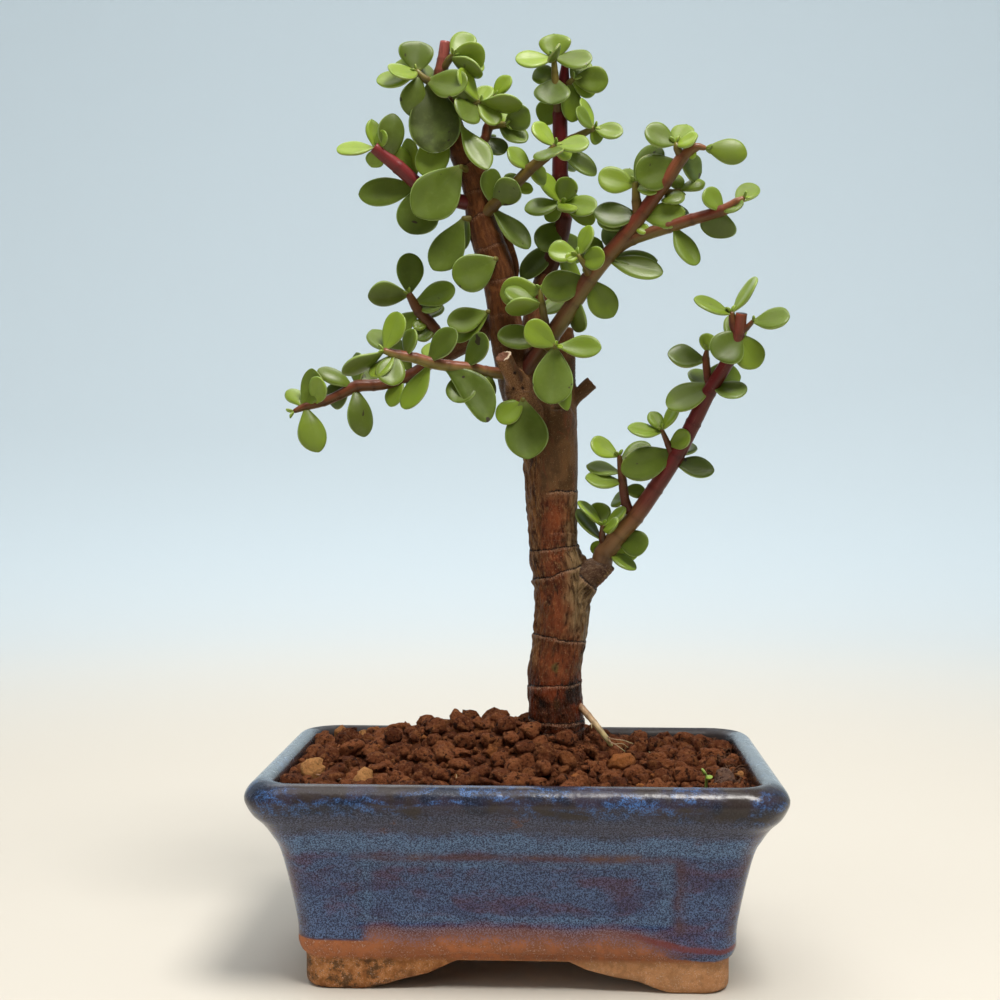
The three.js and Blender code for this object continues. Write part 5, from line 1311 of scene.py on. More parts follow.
def fine_profile():
    rows, _ = smooth_path([(z, half, 0.0) for z, half in POT_PROFILE], PROFILE_STEP)
    rows[:, 0] = np.clip(rows[:, 0], 0.0, LIP_HEIGHT)
    return rows[:, :2]


def wall_marks(run, panel, hold):
    """Places along a wall: even, closer together at the panel's edges, stretched at the ends."""
    inner = np.arange(-hold + 1.2, hold - 0.6, WALL_STEP)
    edge = np.arange(panel - 0.6, panel + 1.8, PANEL_EDGE_STEP)
    fixed = sorted({round(float(s), 3) for s in [*inner, *edge, *-edge, -hold, hold]})
    outer = np.linspace(0, 1, OUTER_MARKS + 1)[1:]
    low = [-hold - (run - hold) * share for share in outer[::-1]]
    high = [hold + (run - hold) * share for share in outer]
    return np.array([*low, *fixed, *high])


def pot_outline(half_length):
    """Points round the pot, with for each point its place along the wall and the wall it is on."""
    half_depth = half_length - POT_DEPTH_LESS
    corner = FOOT_CORNER_RADIUS + (half_length - FOOT_HALF_LENGTH) * CORNER_GROWTH
    points, along, walls = [], [], []
    sides = [
        (half_length, half_depth, PANEL_HALF_LENGTH, LONG_WALL_HOLD),
        (half_depth, half_length, PANEL_HALF_DEPTH, SHORT_WALL_HOLD),
    ]
    for quarter in range(4):
        run, offset, panel, hold = sides[quarter % 2]
        turn = quarter * math.pi / 2
        cos, sin = round(math.cos(turn)), round(math.sin(turn))
        wall = [(s, -offset, s) for s in wall_marks(run - corner, panel, hold)]
        for k in range(1, CORNER_STEPS):
            angle = -math.pi / 2 + k / CORNER_STEPS * math.pi / 2
            wall.append((run - corner + math.cos(angle) * corner,
                         -(offset - corner) + math.sin(angle) * corner, ON_CORNER))
        for x, y, s in wall:
            points.append((x * cos - y * sin, x * sin + y * cos))
            along.append(s)
            walls.append(quarter)
    return np.array(points), np.array(along), np.array(walls)


def panel_depth(along, walls, z):
    """How far each point of a level ring is pressed in, from 0 to 1."""
    panel = np.where(walls % 2 == 0, PANEL_HALF_LENGTH, PANEL_HALF_DEPTH)
    edge = 1 - smoothstep(panel - 0.4, panel + 0.9, np.abs(along))
    below_top = 1 - smoothstep(PANEL_HIGH - 1.2, PANEL_HIGH + 0.1, z)
    return edge * smoothstep(PANEL_LOW - 0.1, PANEL_LOW + 1.2, z) * below_top


def arch_height(along, walls):
    front = np.interp(along, *zip(*FRONT_ARCH), left=0.0, right=0.0)
    back = np.interp(-along, *zip(*FRONT_ARCH), left=0.0, right=0.0)
    sides = np.interp(along, *zip(*SIDE_ARCH), left=0.0, right=0.0)
    height = np.where(walls % 2 == 1, sides, np.where(walls == 0, front, back))
    return np.where(along == ON_CORNER, 0.0, height)


def drain_circles():
    turns = np.arange(DRAIN_STEPS) / DRAIN_STEPS * 2 * math.pi
    x, y = DRAIN_RADIUS * np.cos(turns), DRAIN_RADIUS * np.sin(turns)
    return [np.stack([middle + x, y], axis=1) for middle in (-DRAIN_OFFSET, DRAIN_OFFSET)]


def floor_plate(shape, outline, height, upward):
    """A level plate inside the given outline with the two drain holes left open."""
    loops = [outline, *drain_circles()]
    points, edges = [], []
    for loop in loops:
        first = len(points)
        points += [Vector(p) for p in loop]
        edges += [(first + i, first + (i + 1) % len(loop)) for i in range(len(loop))]
    made = geometry.delaunay_2d_cdt(points, edges, [], 3, 1e-4)
    vertices = np.array([(*v, height) for v in made[0]])
    faces = [face if upward else face[::-1] for face in made[2]]
    kept = []
    for face in faces:
        x, y, _ = vertices[list(face)].mean(axis=0)
        if math.hypot(abs(x) - DRAIN_OFFSET, y) > DRAIN_RADIUS * 0.97:
            kept.append(face)
    shape.add(vertices, kept, glaze=np.tile([0, 0, 1.0], (len(vertices), 1)))


def glaze_wear(along, walls, z, corner_share):
    """How far the glaze has run off the ridges, and how near each point is to a panel's edge."""
    panel = np.where(walls % 2 == 0, PANEL_HALF_LENGTH, PANEL_HALF_DEPTH)
    in_height = smoothstep(PANEL_LOW - 2, PANEL_LOW, z) * (1 - smoothstep(PANEL_HIGH, PANEL_HIGH + 2, z))
    in_width = 1 - smoothstep(panel + 1, panel + 3, np.abs(along))
    upright = np.exp(-((np.abs(along) - panel - 1.8) / 1.9) ** 2) * in_height
    upright *= np.where((walls == 0) & (along < 0), 0.15, 0.9)
    level_edge = np.exp(-((z - PANEL_HIGH) / 1.6) ** 2) * in_width
    level_edge += 0.4 * np.exp(-((z - PANEL_LOW + 0.5) / 0.7) ** 2) * in_width
    corner = 0.7 * (along == ON_CORNER) * smoothstep(14, 20, z) * (1 - smoothstep(56, 62, z))
    ridge = np.clip(np.maximum(np.maximum(upright, level_edge), corner * corner_share), 0, 1)
    near_side = np.exp(-((panel - np.abs(along) - 3.0) / 2.2) ** 2)
    near_top = np.exp(-((PANEL_HIGH - z - 2.6) / 1.4) ** 2)
    near_foot = np.exp(-((z - PANEL_LOW - 2.6) / 1.6) ** 2)
    return ridge, np.maximum(near_side, np.maximum(near_top, near_foot))


def build_pot(material):
    shape = Shape()
    first, along, walls = pot_outline(FOOT_HALF_LENGTH - FOOT_APRON_THICKNESS)
    around = len(first)
    corner_share = np.zeros(around)
    on_corner = np.exp(-((np.arange(1, CORNER_STEPS) / CORNER_STEPS - 0.5) / 0.16) ** 2)
    corner_share[along == ON_CORNER] = np.tile(on_corner, 4)
    outward = np.array([(0, 1), (-1, 0), (0, -1), (1, 0)])[walls]
    arch = np.minimum(arch_height(along, walls), POT_FLOOR_UNDERSIDE - 0.02)
    rings = [np.column_stack([first, np.full(around, POT_FLOOR_UNDERSIDE)]), np.column_stack([first, arch])]
    glaze = [np.zeros((around, 3))] * 2
    rows = fine_profile()
    outside = int(np.argmax(rows[:, 0])) + 1
    for k, (z, half) in enumerate(rows):
        points, along, walls = pot_outline(half)
        level = np.full(around, z)
        ridge, pool = np.zeros((2, around))
        if k < outside:
            arch = arch_height(along, walls)
            level = np.maximum(level, arch) if z < 0.01 else z + arch * np.clip(1 - z / 14.0, 0, 1)
            pressed = panel_depth(along, walls, z)
            points = points + outward * ((along != ON_CORNER) * pressed * PANEL_INSET)[:, None]
            ridge, near_edge = glaze_wear(along, walls, z, corner_share)
            pool = pressed * near_edge
        rings.append(np.column_stack([points, level]))
        inner = np.full(around, min(1.0, max(0.0, (k - outside - 1) / 4)))
        glaze.append(np.column_stack([ridge, pool, inner]))
    shape.add(np.concatenate(rings), ring_faces(len(rings), around), glaze=np.concatenate(glaze))
    floor_plate(shape, rings[0][:, :2], POT_FLOOR_UNDERSIDE, False)
    floor_plate(shape, rings[-1][:, :2], POT_FLOOR_TOP, True)
    for circle in drain_circles():
        ends = (POT_FLOOR_TOP, POT_FLOOR_UNDERSIDE)
        tube = [np.column_stack([circle, np.full(DRAIN_STEPS, z)]) for z in ends]
        shape.add(np.concatenate(tube), ring_faces(2, DRAIN_STEPS), glaze=np.zeros((2 * DRAIN_STEPS, 3)))
    shape.build("glazed_pot", [material], "glazed_pot", "pot")


# Soil


def mound_height(x, y):
    height = SOIL_EDGE_HEIGHT
    for mound_x, mound_y, rise, spread_x, spread_y in SOIL_MOUNDS:
        away = -((x - mound_x) / spread_x) ** 2 - ((y - mound_y) / spread_y) ** 2
        height = height + rise * np.exp(away)
    return height


def inner_half_length(z):
    """Half the length of the pot's inside at a height."""
    inside = POT_PROFILE[-INSIDE_ROWS:][::-1]
    return float(np.interp(z, [row[0] for row in inside], [row[1] for row in inside]))


def inside_pot(x, y, margin):
    half = inner_half_length(SOIL_MOUTH_HEIGHT) - margin
    corner = SOIL_CORNER_RADIUS - margin
    dx = max(abs(x) - (half - corner), 0.0)
    dy = max(abs(y) - (half - POT_DEPTH_LESS - corner), 0.0)
    return math.hypot(dx, dy) < corner


def build_soil_bed(material):
    shape = Shape()
    outline = pot_outline(inner_half_length(SOIL_MOUTH_HEIGHT) - SOIL_GAP)[0][::3]
    around = len(outline)
    bed = POT_FLOOR_TOP + 0.4
    rings = []
    for share in np.linspace(0.02, 1.0, SOIL_TOP_RINGS):
        ring = outline * share
        rings.append(np.column_stack([ring, mound_height(ring[:, 0], ring[:, 1]) + SOIL_LIFT]))
    for z in np.linspace(SOIL_EDGE_HEIGHT - 2, bed, SOIL_WALL_RINGS):
        wall = pot_outline(inner_half_length(z) - SOIL_GAP)[0][::3]
        rings.append(np.column_stack([wall, np.full(around, z)]))
    stacked = np.concatenate(rings)
    vertices = np.vstack([stacked, [0, 0, mound_height(0.0, 0.0) + SOIL_LIFT], [0, 0, bed]])
    lumps = noise_at(vertices, 0.45) * 0.8 + noise_at(vertices, 1.1, 3.0) * 0.5
    top_points = SOIL_TOP_RINGS * around
    vertices[:top_points, 2] += lumps[:top_points]
    faces = [face[::-1] for face in ring_faces(len(rings), around)]
    faces += fan_faces(around, 0, len(stacked), False)
    faces += fan_faces(around, (len(rings) - 1) * around, len(stacked) + 1, True)
    shape.add(vertices, faces)
    shape.build("soil_bed", [material], "soil_granules", "soil")


def granule_prototypes(count, subdivisions, rng):
    """Broken lumps with blunt edges and a knobbly surface, about 1 in radius."""
    bpy.ops.mesh.primitive_ico_sphere_add(subdivisions=subdivisions, radius=1.0)
    ball = bpy.context.object
    directions = np.array([v.co[:] for v in ball.data.vertices])
    faces = [tuple(p.vertices) for p in ball.data.polygons]
    bpy.data.objects.remove(ball, do_unlink=True)
    prototypes = []
    for k in range(count):
        normals = np.array([unit(np.array([rng.gauss(0, 1) for _ in range(3)])) for _ in range(8)])
        distances = np.array([rng.uniform(0.60, 1.0) for _ in range(8)])
        facing = directions @ normals.T
        reach = np.where(facing > 0.05, distances / np.maximum(facing, 0.05), 9.0)
        radius = -np.log(np.exp(-12 * np.minimum(reach, 1.3)).sum(axis=1)) / 12
        radius = np.minimum(radius, 1.15)
        radius += (0.20 * noise_at(directions, 1.7, k) + 0.17 * noise_at(directions, 3.4, k + 50)
                   + 0.14 * noise_at(directions, 7.0, k + 90))
        prototypes.append(directions * radius[:, None])
    return prototypes, faces


def on_mound(across, up, lift):
    """Where the line of sight through a seen place meets the soil, raised by the given lift."""
    for depth in np.arange(-SOIL_REACH, SOIL_REACH, 0.5):
        point = place(across, up, depth)
        if point[2] <= mound_height(point[0], point[1]) + lift:
            break
    return point


def scatter_granules(rng):
    """Places for crumbs on the mound: the odd ones, then large ones and smaller ones in the gaps."""
    kept = []
    cells = {}

    def keep(x, y, z, radius, kind, *layers):
        for layer in layers:
            cell = (int(x // CELL_SIZE), int(y // CELL_SIZE), layer)
            cells.setdefault(cell, []).append((x, y, radius))
        kept.append((x, y, z, radius, kind))

    for across, up, radius, kind in ODD_LUMPS:
        keep(*on_mound(across, up, 1.6 + 0.3 * radius), radius, kind, 0, 1)
    half_x = inner_half_length(SOIL_MOUTH_HEIGHT)
    half_y = half_x - POT_DEPTH_LESS
    trunk = place(*TRUNK_AT_SOIL)
    for low, high, tries, layer in GRANULE_SIZES:
        for _ in range(tries):
            radius = rng.uniform(low, high)
            x, y = rng.uniform(-half_x, half_x), rng.uniform(-half_y, half_y)
            if not inside_pot(x, y, radius * 0.8 + 0.4):
                continue
            if math.hypot(x - trunk[0], y - trunk[1]) < TRUNK_RADIUS + radius * 0.7:
                continue
            if layer and math.hypot(x - SEEDLING_PLACE[0], y - SEEDLING_PLACE[1]) < radius + 2:
                continue
            near = [g for i in (-1, 0, 1) for j in (-1, 0, 1)
                    for g in cells.get((int(x // CELL_SIZE) + i, int(y // CELL_SIZE) + j, layer), [])]
            spacing = BURIED_SPACING if layer == 0 else LOOSE_SPACING
            if any(math.hypot(x - g[0], y - g[1]) < (radius + g[2]) * spacing for g in near):
                continue
            lift = rng.uniform(-0.8, 1.0) - 0.2 * radius if layer == 0 else 1.2 + 0.45 * radius
            ochre = rng.random() < OCHRE_SHARE and radius < OCHRE_GRANULE
            kind = rng.uniform(0.3, 0.8) if ochre else 0.0
            keep(x, y, float(mound_height(x, y)) + lift, radius, kind, layer)
    return kept


def build_granules(material):
    rng = random.Random(5)
    fine, fine_faces = granule_prototypes(16, 3, rng)
    coarse, coarse_faces = granule_prototypes(10, 2, rng)
    shapes = {"large": Shape(), "small": Shape()}
    for x, y, z, radius, kind in scatter_granules(rng):
        size = "large" if radius > LARGE_GRANULE else "small"
        crumbs, faces = (fine, fine_faces) if radius > FINE_GRANULE else (coarse, coarse_faces)
        crumb = crumbs[rng.randrange(len(crumbs))]
        turn = Vector([rng.gauss(0, 1) for _ in range(3)]).to_track_quat("Z", "Y").to_matrix()
        stretch = np.array([rng.uniform(0.8, 1.25) for _ in range(3)])
        points = (crumb * stretch) @ np.array(turn).T * radius * 0.98
        points[:, 2] *= 0.85
        flag = np.tile([rng.random(), kind, 0.0], (len(points), 1))
        shapes[size].add(points + [x, y, z], faces, granule=flag)
    for size, shape in shapes.items():
        shape.build("granules_" + size, [material], "soil_granules", "soil")


# Trunk


def trunk_paths():
    paths = [seen_path(places, 1.0)[0] for places in TRUNK_STEMS]
    x, y, z, _ = paths[0][0]
    peg = [(x, y, height, TRUNK_RADIUS) for height in np.arange(TRUNK_FOOT_HEIGHT, z - 0.5, 1.0)]
    paths[0] = np.vstack([peg, paths[0]])
    return paths


def nearest_places(points, paths):
    """For each point the closest place on the stems: its middle, radius, the three directions
    there, how far along the stem it is and which stem it is on."""
    samples = []
    for k, path in enumerate(paths):
        samples.append(np.column_stack([path, *path_frames(path), run_along(path), np.full(len(path), k)]))
    samples = np.concatenate(samples)
    nearest = np.empty(len(points), int)
    for start in range(0, len(points), POINTS_AT_A_TIME):
        block = slice(start, start + POINTS_AT_A_TIME)
        distance = np.linalg.norm(points[block, None, :] - samples[None, :, :3], axis=2)
        nearest[block] = np.argmin(distance - samples[None, :, 3], axis=1)
    return np.split(samples[nearest], [3, 4, 7, 10, 13, 14], axis=1)


def ring_distances(paths, run, stem, around):
    """How far each point is above the closest scar ring of its stem, and that ring's strength."""
    away = np.full(len(run), 9.0)
    strength = np.zeros(len(run))
    right = around[:, 0]
    for number, (k, up, force, tilt, right_only) in enumerate(SCAR_RINGS):
        _, seen_up = seen_at(paths[k])
        at = run_along(paths[k])[np.argmin(np.abs(seen_up - up))]
        wobble = noise_at(around, 1.1, number) * 0.9 + noise_at(around, 4.0, number + 30) * 0.4
        here = run - at - wobble - tilt * right
        force = force * (smoothstep(-0.3, 0.1, right) if right_only else 1.0)
        closer = (stem == k) & (np.abs(here) < np.abs(away))
        away = np.where(closer, here, away)
        strength = np.where(closer, force, strength)
    return away, strength


def grown_together(paths):
    """One mesh for all the woody stems, with their joints filled and softened."""
    shape = Shape()
    for path in paths:
        _, _, circle = circles_along(path, TRUNK_AROUND)
        rings = path[:, None, :3] + circle * path[:, 3][:, None, None]
        points = np.vstack([rings.reshape(-1, 3), path[0, :3], path[-1, :3]])
        shape.add(points, tube_faces(len(path), TRUNK_AROUND))
    tubes = bpy.data.meshes.new("trunk_tubes")
    tubes.from_pydata(np.concatenate(shape.vertices) * MM, [], shape.faces)
    holder = add_object("trunk_tubes", tubes)
    remesh = holder.modifiers.new("skin", "REMESH")
    remesh.mode = "VOXEL"
    remesh.voxel_size = TRUNK_VOXEL * MM
    holder.modifiers.new("soften", "SMOOTH").iterations = 4
    mesh = bpy.data.meshes.new_from_object(holder.evaluated_get(bpy.context.evaluated_depsgraph_get()))
    mesh.name = "trunk_bark"
    bpy.data.objects.remove(holder, do_unlink=True)
    return mesh


def bark_zones(stem, away, seen_across, seen_up, grain, normals):
    """How far each point is rough, olive, tan, on the pale strip or on the knob of the branch."""
    twig = (stem == THIN_STUB) | (stem >= FIRST_TWIG)
    knob = (stem == SIDE_BRANCH) & (away > -0.2) & (away < 8.5)
    flank = (stem == SIDE_BRANCH) & ~knob
    left_strip = 1 - smoothstep(5.5, 9.5, seen_across + 1.2 * noise_at(grain, 0.2, 6.0))
    lower = 1 - smoothstep(163.0, 172.0, seen_up + 2.0 * noise_at(grain, 0.15, 3.0))
    facing_away = smoothstep(0.1, 0.5, normals[:, 1])
    rough = np.clip(np.maximum(lower, np.maximum(left_strip * (seen_up < 205), 0.6 * facing_away)), 0, 1)
    rough = np.where(stem == LEFT_FORK, 0.12, np.where(knob, 0.15, rough))
    rough = np.where(twig, 0.0, rough)
    wander = 1.5 * noise_at(grain, 0.25, 15.0)
    right_flank = smoothstep(14.5, 21.0, seen_across + wander) * smoothstep(108.0, 124.0, seen_up)
    right_flank = np.maximum(right_flank, smoothstep(21.5, 24.0, seen_across + wander) * (seen_up > 100))
    olive = np.where((stem == LOWER_TRUNK) | flank, right_flank * lower, 0.0)
    tan = np.where(stem == BROAD_STUB, smoothstep(0.1, -0.4, normals[:, 1]), 0.0)
    tan = np.where(stem == THIN_STUB, smoothstep(0.5, -0.3, normals[:, 0] * 0.8 + normals[:, 2]), tan)
    strip = left_strip * smoothstep(100, 112, seen_up) * (seen_up < 205) * (stem == LOWER_TRUNK)
    strip = strip * smoothstep(0.5, -0.1, normals[:, 1])
    return rough, olive, tan, strip, knob


def spot_shares(seen_across, seen_up, grain):
    """How far each point lies in the red, black and green spots."""
    spots = np.zeros((len(grain), 3))
    for channel, group in enumerate((RED_SPOTS, BLACK_SPOTS, ALGAE_SPOTS)):
        for across, up, spot_radius in group:
            near = np.hypot(seen_across - across, (seen_up - up) / 1.4) / spot_radius
            near += 0.5 * noise_at(grain * [1, 1, 0.5], 0.7, 20.0 + channel)
            spots[:, channel] = np.maximum(spots[:, channel], smoothstep(1.15, 0.6, near))
    return spots


def sawn_ends(points, normals, paths, push):
    """Which points lie on a cut end, how pale its rim is there, and the push that hollows it."""
    cut, rim_share = np.zeros((2, len(points)))
    for k, darkness in CUT_ENDS.items():
        end, before = paths[k][-1], paths[k][-3]
        direction = unit(end[:3] - before[:3])
        beyond = (points - end[:3]) @ direction
        sideways = np.linalg.norm(points - end[:3] - np.outer(beyond, direction), axis=1)
        on_cut = (beyond > -0.7) & (sideways < end[3] + 0.3) & (normals @ direction > 0.45)
        cut = np.where(on_cut, 1.0, cut)
        pale_side = smoothstep(-0.5, 0.4, (points[:, 0] - end[0]) / end[3])
        rim = np.clip(sideways / end[3], 0, 1) * (1 - darkness) * pale_side
        rim_share = np.where(on_cut, rim, rim_share)
        ragged = 0.35 * noise_at(points, 0.9, 12.0)
        push = np.where(on_cut, ragged - 0.7 * smoothstep(0.75, 0.4, sideways / end[3]), push)
    return cut, rim_share, push


def build_trunk(material):
    """The woody stems grown into one skin, with scar rings, cracks and cut ends worked into it."""
    paths = trunk_paths()
    mesh = grown_together(paths)
    points = np.array([v.co[:] for v in mesh.vertices]) / MM
    normals = np.array([v.normal[:] for v in mesh.vertices])

    middle, radius, along, side, other, start, stem = nearest_places(points, paths)
    radius, stem = radius[:, 0], stem[:, 0].astype(int)
    offset = points - middle
    lengthwise = (offset * along).sum(axis=1)
    radial = offset - along * lengthwise[:, None]
    reach = np.linalg.norm(radial, axis=1)
    radial /= np.maximum(reach, 1e-6)[:, None]
    run = start[:, 0] + lengthwise
    angle = np.arctan2((offset * other).sum(axis=1), (offset * side).sum(axis=1))
    outward = np.clip((normals * radial).sum(axis=1), 0, 1)
    points = points + radial * (np.clip(radius - reach, 0, 0.8) * smoothstep(0.5, 0.9, outward))[:, None]

    grain = np.column_stack([np.cos(angle) * radius, np.sin(angle) * radius, run])
    away, strength = ring_distances(paths, run, stem, radial)
    seen_across, seen_up = seen_at(points)
    rough, olive, tan, strip, knob = bark_zones(stem, away, seen_across, seen_up, grain, normals)
    spots = spot_shares(seen_across, seen_up, grain) * (normals[:, 1] < 0.2)[:, None]

    size = np.clip(radius / 8.0, 0.3, 1.0)
    long_grain = grain * [1.0, 1.0, 0.2]
    fissure = noise_at(long_grain, 0.5, 7.0) + 0.5 * noise_at(long_grain, 1.2, 8.0)
    crack = smoothstep(0.13, 0.0, np.abs(fissure))
    crack *= smoothstep(0.0, 0.4, noise_at(grain * [1, 1, 0.4], 0.22, 9.0)) * rough
    lumps = noise_at(grain * [1, 1, 0.5], 0.13, 1.0)
    flakes = noise_at(long_grain, 0.9, 4.0) + 0.6 * noise_at(grain * [1, 1, 0.45], 0.8, 14.0)
    push = size * (0.45 * lumps + (0.08 + 0.42 * rough + 0.3 * strip) * flakes - 0.4 * crack)
    step = 0.65 * np.exp(np.clip(away, -9, 0) / 2.0) * (away < 0)
    push += strength * np.minimum(size, 0.8) * (step - 0.45 * np.exp(-(away / 0.4) ** 2))

    cut, cut_radius, push = sawn_ends(points, normals, paths, push)
    pore = np.zeros(len(points))
    for across, up in PORES:
        near = np.hypot(seen_across - across, seen_up - up)
        pore = np.maximum(pore, smoothstep(0.85, 0.45, near) * (normals[:, 1] < 0))
    push -= 0.5 * pore
    points = points + normals * (push * smoothstep(60.0, 66.0, points[:, 2]))[:, None]
    mesh.vertices.foreach_set("co", (points * MM).ravel())
    layers = {
        "grain": grain,
        "ring": np.column_stack([away, strength, crack]),
        "tone": np.column_stack([rough, olive, tan]),
        "sawn": np.column_stack([cut, cut_radius, pore]),
        "spots": spots,
        "zone": np.column_stack([strip, knob, np.zeros(len(points))]),
    }
    for key, values in layers.items():
        add_attribute(mesh, key, values)
    add_piece("trunk_bark", mesh, [material], "bark", "trunk")


# Plant


def add_bud(shape, places, rng):
    """Two tiny new leaves that part at the tip of a twig."""
    before, tip = (place(*row[:3]) for row in places[-2:])
    direction = unit(tip - before)
    side = np.cross(direction, unit(EYE - tip))
    side = unit(side * math.cos(0.6) + np.cross(direction, side) * math.sin(0.6))
    size = 2.4 + 1.4 * rng.random()
    for sign in (-1, 1):
        end = tip + unit(direction * 1.0 + side * sign * 0.75) * size
        facing = unit(direction - side * sign)
        leaf = {"base": tip, "tip": end, "upper": facing, "width": 0.62 * size, "thickness": 0.9,
                "arch": -0.06, "cup": 0.1, "bend": 0.0, "age_and_shade": -0.1}
        add_leaf(shape, leaf, 0, rng)


def build_shoot(number, name, shoot, leaf_skin, stem_skin):
    shape = Shape()
    rng = random.Random(100 + number)
    draw = seeded_random(number)
    skin = STEM_SKINS.get(name, PLAIN_SKIN)
    twig_skin = RED_TWIG_SKIN if name == "shoot_low_right" else TWIG_SKIN
    spur = name.startswith("spur")
    tip_share = SPUR_TIP_SHARE if spur else TWIG_TIP_SHARE
    buds = []
    for key, places in shoot["stems"].items():
        cut = key == "main" and places[-1][3] > CUT_STEM
        ending = [*places[:-1], (*places[-1][:3], places[-1][3] * tip_share)]
        colours = skin if places[0][3] >= THIN_STEM else twig_skin
        add_stem(shape, places if cut else ending, 1, colours, cut=cut)
        if not cut and not spur:
            buds.append(places)
    for stem, *rows in [*shoot["leaves"], *SMALL_LEAVES.get(name, [])]:
        for row in rows:
            add_leaf(shape, leaf_frame(shoot["stems"][stem], row, draw), 0, rng)
    for places in buds:
        add_bud(shape, places, rng)
    shape.build(name + "_leafy", [leaf_skin, stem_skin], "leaf", name)


def build_aerial_root(material):
    shape = Shape()
    add_stem(shape, AERIAL_ROOT, 0, ROOT_SKIN, step=0.7)
    for places in ROOTLETS:
        add_stem(shape, places, 0, ROOT_SKIN, step=0.7, around=8)
    shape.build("aerial_root_skin", [material], "root", "aerial_root")


def build_seedling(leaf_skin, stem_skin):
    shape = Shape()
    rng = random.Random(9)
    top = SEEDLING_PLACE + [0.4, -0.3, SEEDLING_HEIGHT]
    stem = [(*seen_at(point), point[1], radius) for point, radius in ((SEEDLING_PLACE, 0.6), (top, 0.5))]
    add_stem(shape, stem, 1, SPROUT_SKIN, step=0.7, around=8)
    for dx, dz in ((-1.6, 2.6), (1.3, -0.6)):
        tip = top + [dx, -2.2, dz]
        along = unit(tip - top)
        facing = np.array([0.0, -0.6, 1.0])
        facing = unit(facing - along * (facing @ along))
        leaf = {"base": top, "tip": tip, "upper": facing, "width": 2.4, "thickness": 1.0,
                "arch": 0.0, "cup": 0.05, "bend": 0.0, "age_and_shade": 0.0}
        add_leaf(shape, leaf, 0, rng)
    shape.build("seedling_leafy", [leaf_skin, stem_skin], "young_leaf", "seedling")


def add_fibre(shape, x, y, turn, length, radius, rng):
    """A thin bent thread that lies on the granules."""
    points = []
    for k in range(5):
        x += math.cos(turn) * length / 4
        y += math.sin(turn) * length / 4
        turn += rng.uniform(-0.7, 0.7)
        z = float(mound_height(x, y)) + FIBRE_LIFT + rng.uniform(-0.6, 0.9)
        points.append((*seen_at(np.array([x, y, z])), y, radius * (1 - k / 7)))
    add_stem(shape, points, 0, ROOT_SKIN, step=1.2, around=6)


def build_peat(material):
    """Dark threads of peat gathered along the inside of the pot, thickest on the right."""
    shape = Shape()
    rng = random.Random(33)
    for _ in range(PEAT_THREADS):
        stretch = PEAT_RIGHT if rng.random() < PEAT_RIGHT_SHARE else PEAT_BACK
        x, y = (rng.uniform(*ends) for ends in stretch)
        turn = rng.uniform(0, 2 * math.pi)
        add_fibre(shape, x, y, turn, rng.uniform(1.5, 4.5), rng.uniform(0.12, 0.4), rng)
    shape.build("peat_threads", [material], "soil_granules")


def build_fibres(material):
    """Fine pale root fibres that lie loose on the granules."""
    shape = Shape()
    rng = random.Random(21)
    for x, y, turn, length in FIBRES:
        add_fibre(shape, x, y, turn, length, FIBRE_RADIUS, rng)
    shape.build("root_fibres", [material], "root")


# Surroundings


def build_studio():
    """A pale round floor that curves up into a wall, far from the plant."""
    flat, curve, wall_top, around = 1.0, 1.5, 2.6, 96
    profile = [(r, 0.0) for r in (0.001, 0.35, 0.7, flat)]
    turns = np.linspace(0.08, math.pi / 2, 20)
    profile += [(flat + curve * math.sin(a), curve - curve * math.cos(a)) for a in turns]
    profile.append((flat + curve, wall_top))
    angles = np.arange(around) / around * 2 * math.pi
    vertices = [(r * math.cos(a), r * math.sin(a), z) for r, z in profile for a in angles]
    mesh = bpy.data.meshes.new("studio_floor")
    mesh.from_pydata(vertices, [], ring_faces(len(profile), around))
    mesh.polygons.foreach_set("use_smooth", [True] * len(mesh.polygons))
    floor = add_object("studio_floor", mesh)
    material, tree, shader = new_material("pale_backdrop", Roughness=0.9)
    away = node("ShaderNodeVectorMath", {0: place_in(tree)}, operation="LENGTH").outputs["Value"]
    paint(shader, mix(remap(away, 0.35, 1.55), (0.61, 0.57, 0.5), (0.64, 0.73, 0.78)))
    mesh.materials.append(material)


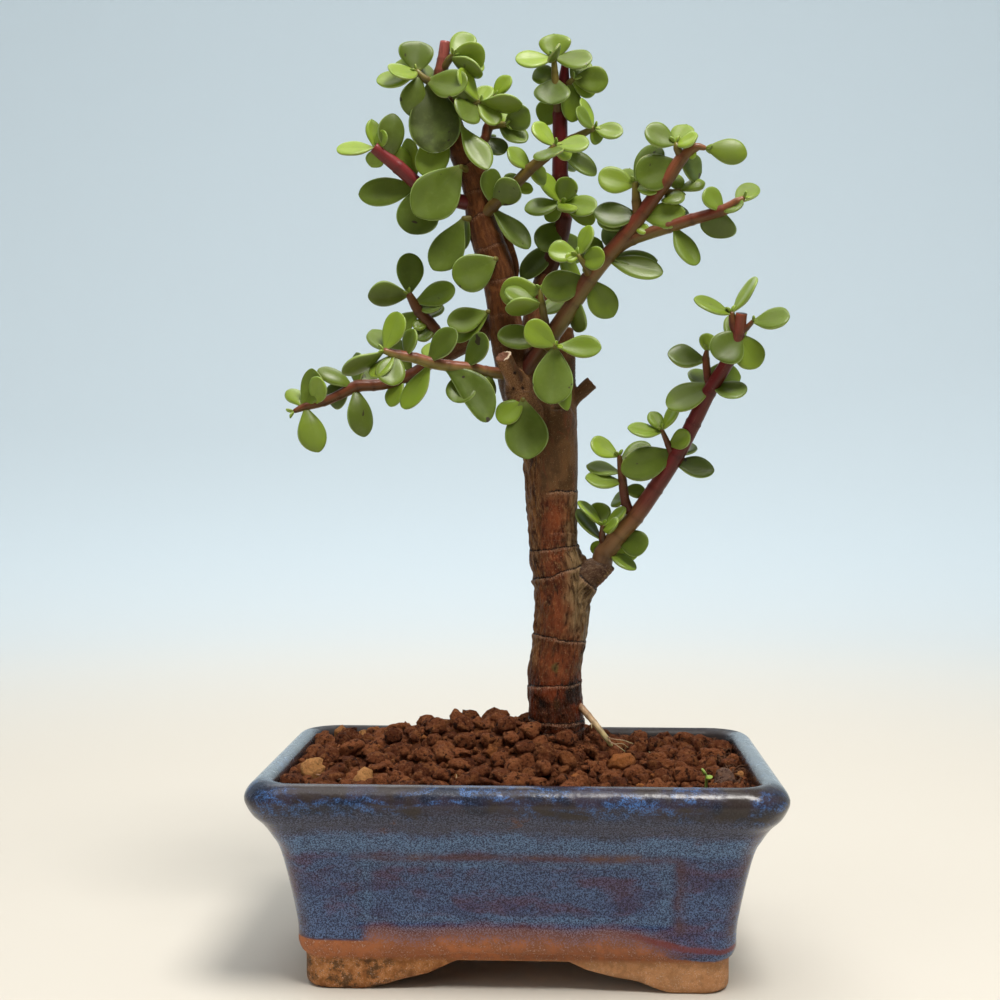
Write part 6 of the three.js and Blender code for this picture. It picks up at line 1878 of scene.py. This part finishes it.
def build_card():
    """A dark card behind the camera that keeps the glaze and the leaves from looking hazy."""
    folds = [(-1.3, -0.55), (-0.9, -0.95), (0.9, -0.95), (1.3, -0.55)]
    corners = [(x, y, z) for z in (0.08, 1.2) for x, y in folds]
    mesh = bpy.data.meshes.new("studio_card")
    mesh.from_pydata(corners, [], [(k, k + 1, k + 5, k + 4) for k in range(3)])
    card = add_object("studio_card", mesh)
    card.visible_camera = False
    card.visible_shadow = False
    material, tree, shader = new_material("dark_card", Roughness=0.9)
    cloth = speckle(place_in(tree), 3.0, 3.0)
    paint(shader, mix(cloth, (0.08, 0.07, 0.06), (0.12, 0.11, 0.1)))
    mesh.materials.append(material)


def add_light(name, position, target, size, energy, colour=(1.0, 1.0, 1.0)):
    light = bpy.data.lights.new(name, "AREA")
    light.shape = "DISK"
    light.size = size
    light.energy = energy
    light.color = colour
    holder = add_object(name, light)
    holder.location = position
    direction = Vector(target) - Vector(position)
    holder.rotation_euler = direction.to_track_quat("-Z", "Y").to_euler()
    return holder


def add_camera():
    camera = bpy.data.cameras.new("camera")
    camera.lens = 51.0
    camera.sensor_width = 36.0
    holder = add_object("camera", camera)
    holder.location = Vector(EYE) * MM
    holder.rotation_euler = (math.radians(90 - CAMERA_DOWN), 0.0, math.radians(CAMERA_LEFT))
    bpy.context.scene.camera = holder


def add_world():
    world = bpy.data.worlds.new("studio")
    world.use_nodes = True
    background = world.node_tree.nodes["Background"]
    background.inputs["Color"].default_value = (1.0, 0.98, 0.95, 1.0)
    background.inputs["Strength"].default_value = 0.32
    bpy.context.scene.world = world


add_camera()
build_studio()
build_card()
middle = (0.0, 0.0, 0.17)
add_light("key", (0.32, -0.45, 1.25), middle, 0.5, 18.0, (1.0, 0.97, 0.92))
add_light("top", (-0.2, -0.15, 1.45), middle, 1.2, 7.0)
add_light("fill", (-0.95, -0.75, 0.55), middle, 0.8, 2.0, (1.0, 0.98, 0.95)).visible_glossy = False
add_light("back", (-0.2, 0.9, 1.1), middle, 0.9, 4.0)
add_light("wall", (0.0, 0.7, 1.5), (0.0, 2.6, 0.7), 1.2, 13.0)
add_world()
bpy.context.scene.view_settings.view_transform = "Standard"

leaf_skin = leaf_material()
stem_skin = stem_material()
root_skin = root_material()
build_pot(glaze_material())
build_soil_bed(soil_bed_material())
build_granules(granule_material())
build_trunk(bark_material())
for number, (name, shoot) in enumerate(SHOOTS.items(), start=1):
    build_shoot(number, name, shoot, leaf_skin, stem_skin)
build_aerial_root(root_skin)
build_seedling(leaf_skin, stem_skin)
build_fibres(root_skin)
build_peat(peat_material())
